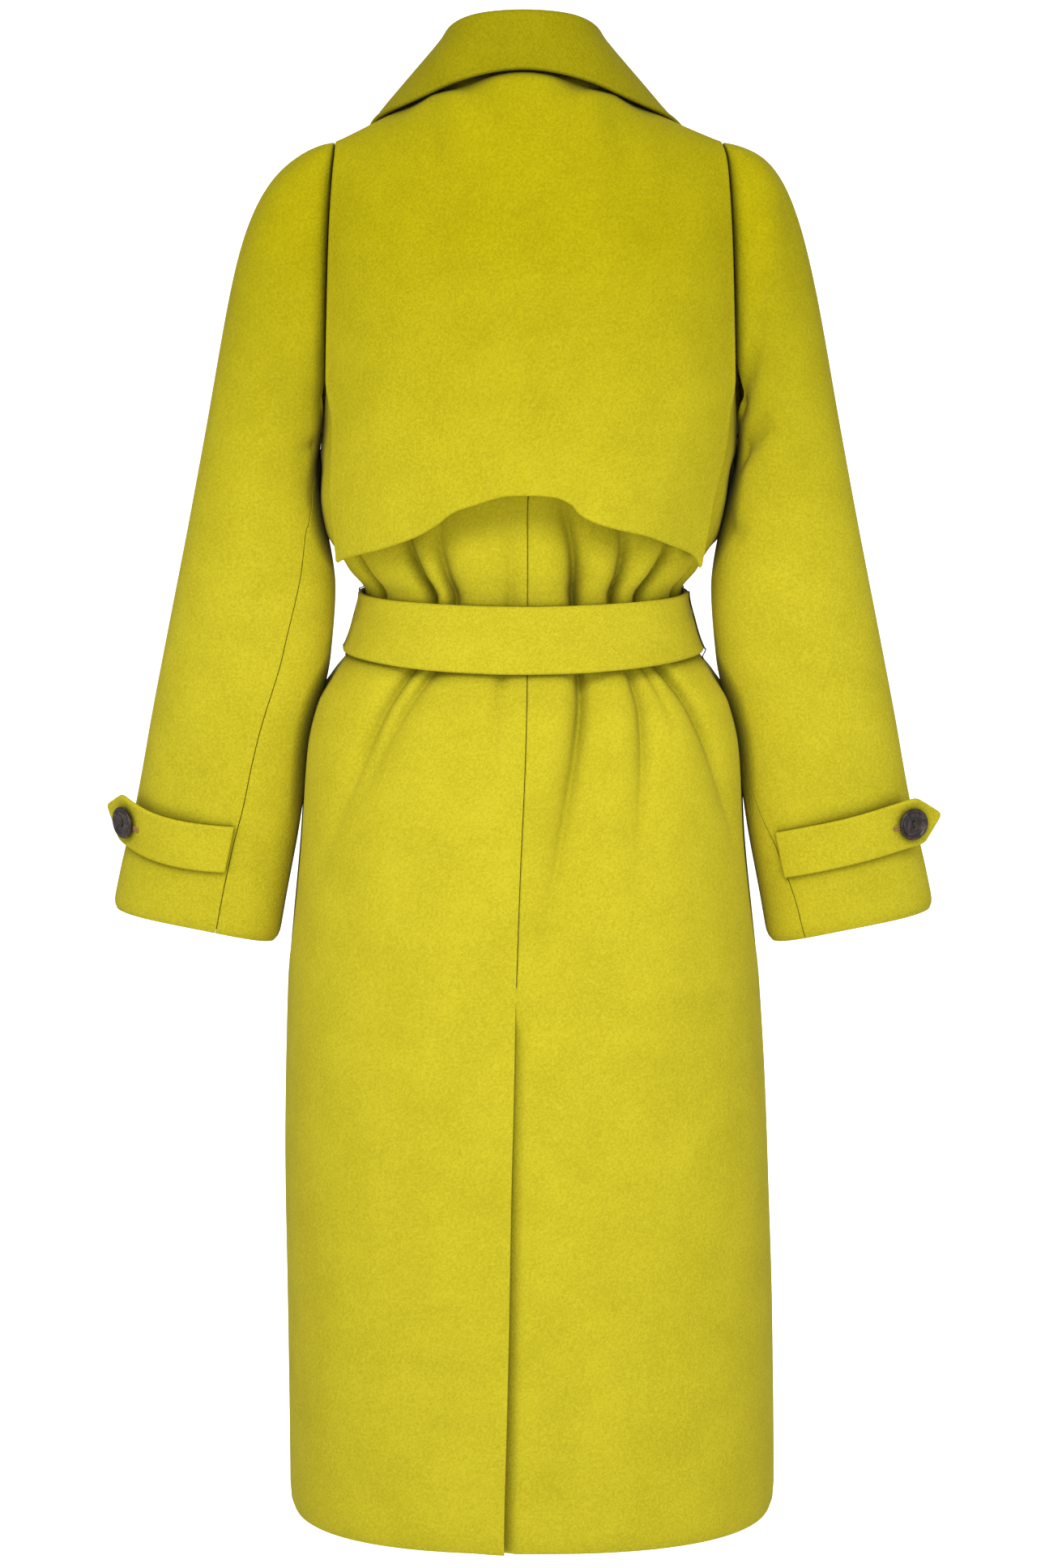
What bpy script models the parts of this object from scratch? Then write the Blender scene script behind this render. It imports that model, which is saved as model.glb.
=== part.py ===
"""Belted wool coat, hollow as when worn, with a storm flap, cuff straps and a tied belt.

Metres, +Z up. +Y is the wearer's front and +X the wearer's right. The origin is at the base of the
neck, where the shoulders carry the coat. Heights in the tables are measured up from the hem.
"""

import math

import bmesh
import bpy
import numpy as np
from mathutils import Matrix, Vector

# Cloth
CLOTH = 0.0022
FLAP_CLOTH = 0.0030
COLLAR_CLOTH = 0.0034
BELT_CLOTH = 0.0040
SEAM_GAP = 0.0004
LAYER_GAP = 0.0006

# Heights
MOUNT_HEIGHT = 1.10
UNDERARM_HEIGHT = 0.836
BELT_LOW = 0.677
BELT_HIGH = 0.725
BELT_MIDDLE = (BELT_LOW + BELT_HIGH) / 2
VENT_TOP = 0.40

# Shape of the sections
SQUARENESS = 2.4
DEPTH_RATIO = 0.78
RIDGE_Y = -0.004
ARCH_POWER = 0.8
STEP = 1e-4

# Overlaps
VENT_UNDERLAP = 0.045
VENT_LIFT = 0.004
VENT_EDGE = 0.030
FRONT_OVERLAP = 0.32
FRONT_TUCK = CLOTH + 0.0020
BREAK_HEIGHT = 0.792
NECK_SIDE_X = 0.070
NECK_BACK_ANGLE = 1.262


def table(columns, *rows):
    """A table of numbers with named columns."""
    return {name: np.array(values) for name, values in zip(columns.split(), zip(*rows))}


TORSO = table(
    "height half_width back_depth front_depth centre_x",
    (0.000, 0.1920, 0.166, 0.160, 0.0070),
    (0.150, 0.1915, 0.161, 0.154, 0.0055),
    (0.280, 0.1900, 0.155, 0.147, 0.0025),
    (0.350, 0.1880, 0.151, 0.143, 0.0015),
    (0.445, 0.1830, 0.144, 0.135, 0.0000),
    (0.530, 0.1725, 0.137, 0.127, -0.0005),
    (0.605, 0.1640, 0.128, 0.119, 0.0000),
    (0.640, 0.1560, 0.119, 0.112, 0.0000),
    (0.662, 0.1445, 0.107, 0.104, 0.0000),
    (0.680, 0.1345, 0.100, 0.099, 0.0000),
    (0.701, 0.1275, 0.096, 0.096, 0.0000),
    (0.725, 0.1225, 0.094, 0.094, 0.0000),
    (0.745, 0.1325, 0.102, 0.103, 0.0000),
    (0.774, 0.1445, 0.112, 0.116, 0.0000),
    (0.803, 0.1525, 0.117, 0.125, 0.0000),
    (0.836, 0.1605, 0.118, 0.128, 0.0000),
)

SHOULDER = table(
    "x ridge",
    (0.000, 1.1400),
    (0.040, 1.1240),
    (0.070, 1.1030),
    (0.118, 1.0790),
    (0.148, 1.0655),
    (0.170, 1.0560),
)

ARMHOLE = table(
    "climb x",
    (0.00, 0.1605),
    (0.05, 0.1590),
    (0.12, 0.1570),
    (0.25, 0.1560),
    (0.50, 0.1540),
    (0.75, 0.1510),
    (1.00, 0.1480),
)

# One row for each crease that the belt draws in. A turn of 0 is the centre back, 1 and -1 are the
# side seams, and 2 is the centre front.
GATHERS = table(
    "turn_above turn_below depth_above depth_below reach_below",
    (-1.80, -1.80, 0.0060, 0.0060, 0.16),
    (-1.55, -1.58, 0.0080, 0.0070, 0.22),
    (-1.30, -1.34, 0.0070, 0.0080, 0.18),
    (-0.72, -0.80, 0.0090, 0.0060, 0.12),
    (-0.42, -0.56, 0.0100, 0.0080, 0.17),
    (-0.30, -0.40, 0.0090, 0.0070, 0.13),
    (-0.07, -0.09, 0.0060, 0.0040, 0.20),
    (0.215, 0.23, 0.0120, 0.0120, 0.28),
    (0.40, 0.45, 0.0090, 0.0080, 0.22),
    (0.53, 0.63, 0.0090, 0.0080, 0.16),
    (0.80, 0.84, 0.0070, 0.0060, 0.14),
    (1.33, 1.37, 0.0070, 0.0080, 0.20),
    (1.56, 1.60, 0.0080, 0.0070, 0.24),
    (1.80, 1.82, 0.0060, 0.0060, 0.16),
)
GATHER_REACH_ABOVE = 0.100
GATHER_RISE = 0.026
GATHER_AT_BELT = 0.25
GATHER_WIDTH = 0.0060
GATHER_SPREAD = 0.085

# The centre back seam leans to the wearer's left on its way down.
BACK_SEAM = table(
    "height x",
    (0.000, -0.0220),
    (0.120, -0.0180),
    (0.285, -0.0110),
    (0.400, -0.0065),
    (0.700, 0.0030),
    (0.840, 0.0030),
)

PANEL_HEIGHTS = np.array((
    0.0, 0.14, 0.28, 0.40, 0.48, 0.55, 0.605, 0.641, 0.667, 0.682, 0.701, 0.721, 0.735, 0.753, 0.776,
    0.803, 0.836,
))
PANEL_CLIMBS = np.array((0.06, 0.14, 0.30, 0.50, 0.70, 0.87, 1.0))
UPPER_COLUMNS = 19

# The storm flap's free lower edge, by its share of the way from the centre back to the side.
FLAP_EDGE = table(
    "share height",
    (-1.000, 0.7520),
    (-0.600, 0.7630),
    (-0.407, 0.7755),
    (-0.324, 0.7850),
    (-0.254, 0.7955),
    (-0.163, 0.8020),
    (-0.060, 0.8079),
    (0.020, 0.8083),
    (0.110, 0.8070),
    (0.187, 0.8007),
    (0.212, 0.7946),
    (0.260, 0.7884),
    (0.367, 0.7820),
    (0.500, 0.7755),
    (0.620, 0.7675),
    (0.760, 0.7600),
    (1.000, 0.7480),
)
FLAP_GAP = 0.0020
FLAP_SIDE_SHARE = 0.990
FLAP_SIDE_X = 0.1535
FLAP_TOP_CLIMB = 0.975
FLAP_BELL = 0.060
FLAP_NARROWING = {"left": 0.060, "right": 0.105}
FLAP_HANG_ROWS = 5
FLAP_CLIMBS = np.append(PANEL_CLIMBS[:-1], FLAP_TOP_CLIMB)

# Half of the collar, from the centre back to its front end.
COLLAR = table(
    "seam_x seam_y seam_h roll_x roll_y roll_h edge_x edge_y edge_h roll_radius",
    (0.0000, -0.0495, 1.1275, 0.0000, -0.0510, 1.1690, 0.0000, -0.070, 1.1255, 0.0050),
    (0.0340, -0.0435, 1.1255, 0.0340, -0.0440, 1.1665, 0.0440, -0.062, 1.1180, 0.0050),
    (0.0590, -0.0225, 1.1195, 0.0520, -0.0220, 1.1590, 0.0830, -0.040, 1.1010, 0.0050),
    (0.0670, 0.0060, 1.1080, 0.0565, 0.0070, 1.1510, 0.1155, -0.003, 1.0865, 0.0050),
    (0.0605, 0.0440, 1.0890, 0.0585, 0.0475, 1.1220, 0.1280, 0.034, 1.0640, 0.0046),
    (0.0500, 0.0710, 1.0680, 0.0515, 0.0745, 1.0880, 0.1230, 0.066, 1.0410, 0.0043),
    (0.0405, 0.0865, 1.0430, 0.0435, 0.0895, 1.0580, 0.1090, 0.086, 1.0140, 0.0040),
)
COLLAR_COLUMNS = 29
FALL_ROUNDING = 0.001
COLLAR_BACK_LIFT = FLAP_GAP + FLAP_CLOTH + COLLAR_CLOTH / 2 + 0.0020
COLLAR_FRONT_LIFT = COLLAR_CLOTH / 2 + 0.0012

# Corners of the turned-back lapels, on the wearer's right front.
LAPEL_TOP_ROLL = (0.0525, 1.0465)
LAPEL_POINT = (0.1300, 0.9945)
LAPEL_GAP = 0.0028
LAPEL_ROLL_GAP = 0.0013
LAPEL_ROWS = 9
LAPEL_COLUMNS = 5
LAPEL_FOOT_WIDTH = 0.012
LEFT_LAPEL_FOOT = 0.918

# Rings of the sleeve from the biceps to the cuff, each by its outer and its inner edge.
SLEEVE = table(
    "station outer_x outer_h inner_x inner_h half_depth centre_y",
    (0.00, 0.2485, 0.835, 0.1515, 0.768, 0.047, -0.002),
    (0.17, 0.2615, 0.768, 0.1460, 0.728, 0.049, -0.002),
    (0.36, 0.2754, 0.700, 0.1500, 0.674, 0.050, 0.000),
    (0.55, 0.2896, 0.630, 0.1655, 0.604, 0.050, 0.004),
    (0.75, 0.3030, 0.560, 0.1765, 0.534, 0.050, 0.009),
    (0.90, 0.3160, 0.507, 0.1865, 0.482, 0.050, 0.013),
    (1.00, 0.3230, 0.474, 0.1925, 0.448, 0.050, 0.015),
)
SLEEVE_SEAM = table(
    "run left right",
    (-1.00, 165.0, 178.0),
    (0.00, 158.0, 178.0),
    (0.15, 149.0, 177.0),
    (0.335, 126.0, 175.0),
    (0.59, 113.0, 170.0),
    (0.70, 109.0, 147.0),
    (0.80, 106.0, 134.0),
    (1.00, 106.0, 126.0),
)
SLEEVE_STATIONS = np.linspace(0.0, 1.0, 9)
CAP_SHARES = np.array((0.0, 0.16, 0.33, 0.50, 0.67, 0.84))
CAP_OUT = 0.27
CAP_UP = 0.58
ARMHOLE_CLEARANCE = 0.0008
SLEEVE_HEAD = 0.004
FRONT_SLEEVE_SEAM = math.radians(240.0)
UPPER_SLEEVE_COLUMNS = 13
UNDER_SLEEVE_COLUMNS = 9

# Where each strap leaves its sleeve, how far it goes on, and how it leans and gapes.
SLEEVE_SIDES = {
    "left": {"sign": -1, "seam": "left", "strap_leaves": 34.0, "strap_free": 0.039,
             "strap_tilt": 0.02, "strap_gape": 0.004},
    "right": {"sign": 1, "seam": "right", "strap_leaves": 58.0, "strap_free": 0.053,
              "strap_tilt": 0.035, "strap_gape": 0.002},
}

STRAP_WIDTH = 0.038
STRAP_CLOTH = 0.0036
STRAP_POINT = 0.022
STRAP_STATION = 0.797
STRAP_LIFT = 0.0007
STRAP_ROWS = 15
STRAP_COLUMNS = 5

BUTTON_RADIUS = 0.0125
BUTTON_HEIGHT = 0.0042
BUTTON_RIM = 0.0030
BUTTON_DISH = 0.0012
BUTTON_HOLE_RADIUS = 0.0011
BUTTON_HOLE_OFFSET = 0.0023
BUTTON_FROM_TIP = 0.027
BUTTON_SIDES = 20

BELT_KNOT_TURN = 1.889
BELT_COLUMNS = 51
BELT_ROWS = 4
BELT_GAP = 0.0018
BELT_BACK_DROP = 0.0035
BELT_BACK_WIDENING = 0.0045
BELT_TAIL_LENGTH = 0.36
BELT_TAIL_WIDTH = 0.050
BELT_TAIL_TOP_WIDTH = 0.030
BELT_TAIL_ROWS = 12
BELT_TAIL_COLUMNS = 4
BELT_TAIL_CLEARANCE = 0.0040
BELT_TAIL_DROP = 0.0038
BELT_TAILS = {"left": (-0.013, -0.052, 0.0008), "right": (0.014, 0.030, 0.0055)}
KNOT_SIZE = (0.046, 0.026, 0.054)
KNOT_SQUARENESS = 2.8
KNOT_GAP = 0.0018
KNOT_RINGS = 9
KNOT_SIDES = 16
LOOP_RADIUS = 0.0009
LOOP_STANDOFF = 0.0008
LOOP_SIDES = 6

WOOL = ("wool", (0.560, 0.490, 0.012), 0.85)
HORN = ("horn", (0.030, 0.021, 0.016), 0.30)
THREAD = ("thread", (0.055, 0.045, 0.012), 0.70)


# Curves and sections


def ramp(value, low, high):
    """0 below low and 1 above high, with a smooth rise between."""
    t = np.clip((value - low) / (high - low), 0.0, 1.0)
    return t * t * (3.0 - 2.0 * t)


def along(rows, column, at, key="height"):
    """A table's column read on a smooth curve that doesn't overshoot its rows."""
    x, y = rows[key], rows[column]
    at = np.clip(at, x[0], x[-1])
    rise = np.diff(y) / np.diff(x)
    slope = np.zeros_like(y)
    same_way = rise[:-1] * rise[1:] > 0
    slope[1:-1][same_way] = (2 * rise[:-1] * rise[1:])[same_way] / (rise[:-1] + rise[1:])[same_way]
    i = np.clip(np.searchsorted(x, at) - 1, 0, len(x) - 2)
    width = x[i + 1] - x[i]
    t = (at - x[i]) / width
    from_low = (1 + 2 * t) * (1 - t) ** 2 * y[i] + t * (1 - t) ** 2 * width * slope[i]
    from_high = t * t * (3 - 2 * t) * y[i + 1] - t * t * (1 - t) * width * slope[i + 1]
    return from_low + from_high


def quarter(share):
    """Unit width and depth at a share of the way round a quarter section, evenly by length."""
    angle = np.linspace(0.0, math.pi / 2, 181)
    wide, deep = np.sin(angle) ** (2 / SQUARENESS), np.cos(angle) ** (2 / SQUARENESS)
    length = np.concatenate([[0.0], np.cumsum(np.hypot(np.diff(wide), DEPTH_RATIO * np.diff(deep)))])
    at = np.interp(share, length / length[-1], angle)
    return np.sin(at) ** (2 / SQUARENESS), np.cos(at) ** (2 / SQUARENESS)


def quarter_length(height):
    """Length of a quarter of the section, near enough for spacing."""
    return 0.80 * (along(TORSO, "half_width", height) + along(TORSO, "back_depth", height))


def below_belt(height):
    """0 above the belt, 1 below it."""
    return 1.0 - ramp(height, BELT_LOW, BELT_HIGH)


def gather_width(height):
    away = np.maximum(np.maximum(height - BELT_HIGH, BELT_LOW - height), 0.0)
    return GATHER_WIDTH + GATHER_SPREAD * away


def gather_depth(turn, height):
    """How far the belt's gathers draw the cloth in."""
    above, under = height - BELT_HIGH, BELT_LOW - height
    away = np.maximum(np.maximum(above, under), 0.0)
    share_below = below_belt(height)
    total = np.zeros(np.broadcast(turn, height).shape)
    for i in range(len(GATHERS["turn_above"])):
        row = {name: values[i] for name, values in GATHERS.items()}
        reach = np.where(under > above, row["reach_below"], GATHER_REACH_ABOVE)
        rise = GATHER_AT_BELT + (1 - GATHER_AT_BELT) * ramp(away, 0.0, GATHER_RISE)
        size = row["depth_above"] + (row["depth_below"] - row["depth_above"]) * share_below
        centre = row["turn_above"] + (row["turn_below"] - row["turn_above"]) * share_below
        off = ((turn - centre + 2) % 4 - 2) * quarter_length(height)
        fade = 1 - ramp(away, GATHER_RISE, reach)
        total += size * rise * fade * np.exp(-((off / gather_width(height)) ** 2))
    return total


def section(turn, height, gathered=True):
    """A point of the coat's outer face below the underarm."""
    turn, height = np.broadcast_arrays(np.asarray(turn, float), np.asarray(height, float))
    signed = (turn + 2) % 4 - 2
    behind = np.abs(signed) <= 1
    wide, deep = quarter(np.where(behind, np.abs(signed), 2 - np.abs(signed)))
    half_width = along(TORSO, "half_width", height)
    depth = np.where(behind, -along(TORSO, "back_depth", height), along(TORSO, "front_depth", height))
    x, y = np.sign(signed) * half_width * wide + along(TORSO, "centre_x", height), depth * deep
    if gathered:
        out_x = np.sign(signed) * wide ** (SQUARENESS - 1) / half_width
        out_y = deep ** (SQUARENESS - 1) / depth
        size = np.hypot(out_x, out_y)
        drawn = gather_depth(turn, height)
        x, y = x - drawn * out_x / size, y - drawn * out_y / size
    return np.stack([x, y, height - MOUNT_HEIGHT], axis=-1)


def depth_at_underarm(x, front):
    column = "front_depth" if front else "back_depth"
    size = along(TORSO, column, UNDERARM_HEIGHT) * (1 if front else -1)
    across = np.minimum(np.abs(x) / along(TORSO, "half_width", UNDERARM_HEIGHT), 1.0)
    return size * (1 - across**SQUARENESS) ** (1 / SQUARENESS)


def ridge(x):
    """Height of the shoulder line."""
    return along(SHOULDER, "ridge", np.abs(x), key="x")


def yoke(x, climb, front):
    """A point of the outer face above the underarm. Climb is 0 there and 1 at the shoulder or neck."""
    x, climb = np.broadcast_arrays(np.asarray(x, float), np.asarray(climb, float))
    inside = np.clip(np.abs(x) / NECK_SIDE_X, 0.0, 1.0)
    neck = NECK_BACK_ANGLE + (math.pi / 2 - NECK_BACK_ANGLE) * inside**2.2
    angle = climb * (math.pi / 2 if front else neck)
    arch = np.sign(np.cos(angle)) * np.abs(np.cos(angle)) ** ARCH_POWER
    y = RIDGE_Y + (depth_at_underarm(x, front) - RIDGE_Y) * arch
    height = UNDERARM_HEIGHT + (ridge(x) - UNDERARM_HEIGHT) * np.sin(angle)
    return np.stack([x, y, height - MOUNT_HEIGHT], axis=-1)


def surface_y(x, height, front):
    """Depth of the plain outer face at a place given by its x and height."""
    x, height = np.broadcast_arrays(np.asarray(x, float), np.asarray(height, float))
    low = np.minimum(height, UNDERARM_HEIGHT)
    across = np.minimum(np.abs(x - along(TORSO, "centre_x", low)) / along(TORSO, "half_width", low), 1.0)
    column = "front_depth" if front else "back_depth"
    size = along(TORSO, column, low) * (1 if front else -1)
    flat = size * (1 - across**SQUARENESS) ** (1 / SQUARENESS)
    rise = np.clip((height - UNDERARM_HEIGHT) / (ridge(x) - UNDERARM_HEIGHT), 0.0, 1.0)
    return RIDGE_Y + (flat - RIDGE_Y) * (1 - rise**2) ** (ARCH_POWER / 2)


def lifted(face, u, v, lift, flip=False):
    """Points of a face moved out by a lift, with its normals there."""
    along_u = face(u + STEP, v) - face(u - STEP, v)
    along_v = face(u, v + STEP) - face(u, v - STEP)
    out = np.cross(along_u, along_v) * (-1 if flip else 1)
    out = out / np.linalg.norm(out, axis=-1, keepdims=True)
    return face(u, v) + np.asarray(lift)[..., None] * out, out


def back_yoke(x, climb):
    return yoke(x, climb, False)


def front_yoke(x, climb):
    return yoke(x, climb, True)


def front_face(x, height):
    return np.stack([x, surface_y(x, height, True), height - MOUNT_HEIGHT], axis=-1)


# Meshes


def material(look):
    name, colour, roughness = look
    made = bpy.data.materials.get(name)
    if made is None:
        made = bpy.data.materials.new(name)
        made.use_nodes = True
        shader = made.node_tree.nodes["Principled BSDF"]
        shader.inputs["Base Color"].default_value = (*colour, 1.0)
        shader.inputs["Roughness"].default_value = roughness
        shader.inputs["Metallic"].default_value = 0.0
    return made


def add_object(name, mesh, look, sharp=35.0):
    made = bpy.data.objects.new(name, mesh)
    bpy.context.scene.collection.objects.link(made)
    mesh.materials.append(material(look))
    mesh.shade_smooth()
    mesh.set_sharp_from_angle(angle=math.radians(sharp))
    return made


def wall(name, outer, inner, kept=None, look=WOOL):
    """A cloth wall between two grids of points. kept says which cells are there.

    Every cell is split the same way, so walls made from the same rows and columns stay parallel.
    """
    rows, columns = outer.shape[:2]
    kept = np.ones((rows - 1, columns - 1), bool) if kept is None else kept
    made = bmesh.new()
    corner = {}

    def point(side, r, c):
        if (side, r, c) not in corner:
            corner[side, r, c] = made.verts.new((outer, inner)[side][r, c])
        return corner[side, r, c]

    def there(r, c):
        return 0 <= r < rows - 1 and 0 <= c < columns - 1 and kept[r, c]

    for r, c in zip(*np.nonzero(kept)):
        ring = [(r, c), (r, c + 1), (r + 1, c + 1), (r + 1, c)]
        beside = [(r - 1, c), (r, c + 1), (r + 1, c), (r, c - 1)]
        for three in (ring[:3], [ring[0], *ring[2:]]):
            made.faces.new([point(0, *at) for at in three])
            made.faces.new([point(1, *at) for at in reversed(three)])
        for i, next_cell in enumerate(beside):
            if not there(*next_cell):
                a, b = ring[i], ring[(i + 1) % 4]
                made.faces.new([point(0, *b), point(0, *a), point(1, *a), point(1, *b)])
    bmesh.ops.recalc_face_normals(made, faces=made.faces)
    mesh = bpy.data.meshes.new(name)
    made.to_mesh(mesh)
    made.free()
    return add_object(name, mesh, look)


# Fronts and back


def fold_columns(low, high):
    """Columns of a panel between two turns: its edges, three at each gather and one between gathers."""
    inside = []
    for above, under in zip(GATHERS["turn_above"], GATHERS["turn_below"]):
        for whole in (-4, 0, 4):
            if low + 0.04 < above + whole < high - 0.04:
                inside.append((above + whole, under + whole))
    stops = [(low, low)] + sorted(inside) + [(high, high)]
    columns = [(low, low, 0.0)]
    for before, here, after in zip(stops, stops[1:], stops[2:]):
        columns.append(((before[0] + here[0]) / 2, (before[1] + here[1]) / 2, 0.0))
        room = 0.32 * min(here[i] - before[i] for i in (0, 1))
        room_after = 0.32 * min(after[i] - here[i] for i in (0, 1))
        columns += [(*here, -room), (*here, 0.0), (*here, room_after)]
    columns.append(((stops[-2][0] + high) / 2, (stops[-2][1] + high) / 2, 0.0))
    columns.append((high, high, 0.0))
    return np.array(columns)


def column_turns(columns, heights):
    """Turn of each column at each height. Columns follow the gathers, which lean and widen."""
    share = below_belt(heights)[:, None]
    widest = (gather_width(heights) / quarter_length(heights))[:, None]
    offset = np.clip(columns[:, 2], -widest, widest)
    return columns[:, 0] + (columns[:, 1] - columns[:, 0]) * share + offset


def seam_turn(heights):
    return along(BACK_SEAM, "x", heights) / quarter_length(heights)


def joined(lower, upper):
    """Two grids of (points, normals), one above the other."""
    return np.concatenate([lower[0], upper[0]]), np.concatenate([lower[1], upper[1]])


def back_panel(name, sign):
    """Half of the back, from the centre seam to the side seam, armhole, shoulder and neck."""
    low, high = (0.0, 1.0) if sign > 0 else (-1.0, 0.0)
    turns = column_turns(fold_columns(low, high), PANEL_HEIGHTS)
    turns = turns + seam_turn(PANEL_HEIGHTS)[:, None] * (1 - np.minimum(np.abs(turns) / 0.5, 1.0))
    length = quarter_length(PANEL_HEIGHTS)[:, None]
    if sign > 0:
        under = turns[:, :1] - np.array((VENT_UNDERLAP, 0.5 * VENT_UNDERLAP)) / length
        beside = turns[:, :1] + 0.008 / length
        turns = np.concatenate([under, turns[:, :1], beside, turns[:, 1:]], axis=1)
    heights = np.broadcast_to(PANEL_HEIGHTS[:, None], turns.shape)
    to_seam = sign * (turns - turns[:, 2:3] if sign > 0 else turns - turns[:, -1:]) * length
    if sign > 0:
        in_vent = 1 - ramp(heights, VENT_TOP, VENT_TOP + 0.06)
        lift = -(CLOTH + 2 * LAYER_GAP) * (1 - ramp(to_seam, 0.0, 0.008)) * in_vent
    else:
        lift = VENT_LIFT * (1 - ramp(to_seam, 0.0, VENT_EDGE)) * (1 - ramp(heights, 0.0, VENT_TOP))
    lower = lifted(section, turns, heights, lift)
    wide = quarter(np.linspace(0.0, 1.0, UPPER_COLUMNS))[0]
    wide = np.concatenate([(-0.02, -0.01, 0.0, 0.01), wide[1:]]) if sign > 0 else -wide[::-1]
    x = along(ARMHOLE, "x", PANEL_CLIMBS, key="climb")[:, None] * wide
    climbs = np.broadcast_to(PANEL_CLIMBS[:, None], x.shape)
    upper = lifted(back_yoke, x, climbs, np.zeros(x.shape))
    outer, out = joined(lower, upper)
    outer = outer + np.array((sign, -1, 0)) * SEAM_GAP / 2
    kept = np.ones((len(outer) - 1, outer.shape[1] - 1), bool)
    if sign > 0:
        kept[np.searchsorted(PANEL_HEIGHTS, VENT_TOP):, :2] = False
    return wall(name, outer, outer - CLOTH * out, kept)


def share_at(wide):
    """Share of the way round a quarter section where it is this wide."""
    shares = np.linspace(0.0, 1.0, 401)
    return np.interp(wide, quarter(shares)[0], shares)


def roll_x(height):
    """The line where the right front turns back into its lapel, or its plain edge below the break."""
    foot = -quarter(FRONT_OVERLAP)[0] * along(TORSO, "half_width", BREAK_HEIGHT)
    share = np.clip((height - BREAK_HEIGHT) / (ridge(NECK_SIDE_X) - BREAK_HEIGHT), 0.0, 1.0)
    return foot + (NECK_SIDE_X - foot) * share


def roll_at_climb(climbs):
    """x of the roll line on each row above the underarm."""
    low, high = np.full(len(climbs), -0.1), np.full(len(climbs), NECK_SIDE_X)
    for _ in range(40):
        middle = (low + high) / 2
        right_of_it = roll_x(yoke(middle, climbs, True)[:, 2] + MOUNT_HEIGHT) > middle
        low, high = np.where(right_of_it, middle, low), np.where(right_of_it, high, middle)
    return low


def front_panel(name, sign):
    """One front, from the side seam past the centre. The wearer's right front lies outside."""
    far = 2.0 + FRONT_OVERLAP
    columns = fold_columns(1.0, far) if sign > 0 else fold_columns(-far, -1.0)
    turns = column_turns(columns, PANEL_HEIGHTS)
    past_centre = share_at(-roll_x(PANEL_HEIGHTS) / along(TORSO, "half_width", PANEL_HEIGHTS))
    last = np.where(PANEL_HEIGHTS < BREAK_HEIGHT, far, 2.0 + past_centre)[:, None]
    turns = sign * (1.0 + (sign * turns - 1.0) * (last - 1.0) / (far - 1.0))
    heights = np.broadcast_to(PANEL_HEIGHTS[:, None], turns.shape)
    lower = lifted(section, turns, heights, np.zeros(turns.shape))
    low_x = sign * section(turns[-1], UNDERARM_HEIGHT, gathered=False)[:, 0]
    share = (low_x - low_x.max()) / (low_x.min() - low_x.max())
    side = along(ARMHOLE, "x", PANEL_CLIMBS, key="climb")[:, None]
    x = sign * (side + (roll_at_climb(PANEL_CLIMBS)[:, None] - side) * share)
    climbs = np.broadcast_to(PANEL_CLIMBS[:, None], x.shape)
    upper = lifted(front_yoke, x, climbs, np.zeros(x.shape), flip=True)
    outer, out = joined(lower, upper)
    if sign < 0:
        outer = outer - (FRONT_TUCK * ramp(outer[..., 0], -0.112, -0.080))[..., None] * out
    outer = outer + np.array((0, 1, 0)) * SEAM_GAP / 2
    return wall(name, outer, outer - CLOTH * out)


# Storm flap, collar and lapels


def flap_top(shares, climbs, lift):
    """A face of the flap where it lies on the back, moved out without moving sideways."""
    wide = np.sign(shares) * quarter(np.abs(shares))[0] * FLAP_SIDE_SHARE
    x = wide * np.minimum(along(ARMHOLE, "x", climbs, key="climb"), FLAP_SIDE_X)
    points, out = lifted(back_yoke, x, climbs, np.zeros(x.shape))
    upright = out * np.array((0, 1, 1))
    return points + lift * upright / np.sum(upright**2, axis=-1, keepdims=True)


def flap_hang(shares, drops, lift):
    """A face of the flap where it hangs free. Drop is 0 where it leaves the back and 1 at its edge."""
    top = flap_top(shares, np.full(shares.shape, FLAP_CLIMBS[0]), lift)
    low = along(FLAP_EDGE, "height", shares, key="share") - MOUNT_HEIGHT
    narrowing = np.where(shares > 0, FLAP_NARROWING["right"], FLAP_NARROWING["left"])
    x = top[..., 0] * (1 - narrowing * drops**1.5)
    y = top[..., 1] * (1 + FLAP_BELL * drops)
    return np.stack([x, y, top[..., 2] + (low - top[..., 2]) * drops], axis=-1)


def storm_flap():
    half = np.linspace(0.0, 1.0, UPPER_COLUMNS)
    shares = np.concatenate([-half[:0:-1], half])[None, :]
    drops = np.linspace(1.0, 0.0, FLAP_HANG_ROWS + 1)[:-1, None]
    faces = []
    for lift in (FLAP_GAP + FLAP_CLOTH, FLAP_GAP):
        hang = flap_hang(*np.broadcast_arrays(shares, drops), lift)
        top = flap_top(*np.broadcast_arrays(shares, FLAP_CLIMBS[:, None]), lift)
        faces.append(np.concatenate([hang, top]))
    return wall("storm_flap", *faces)


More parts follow.
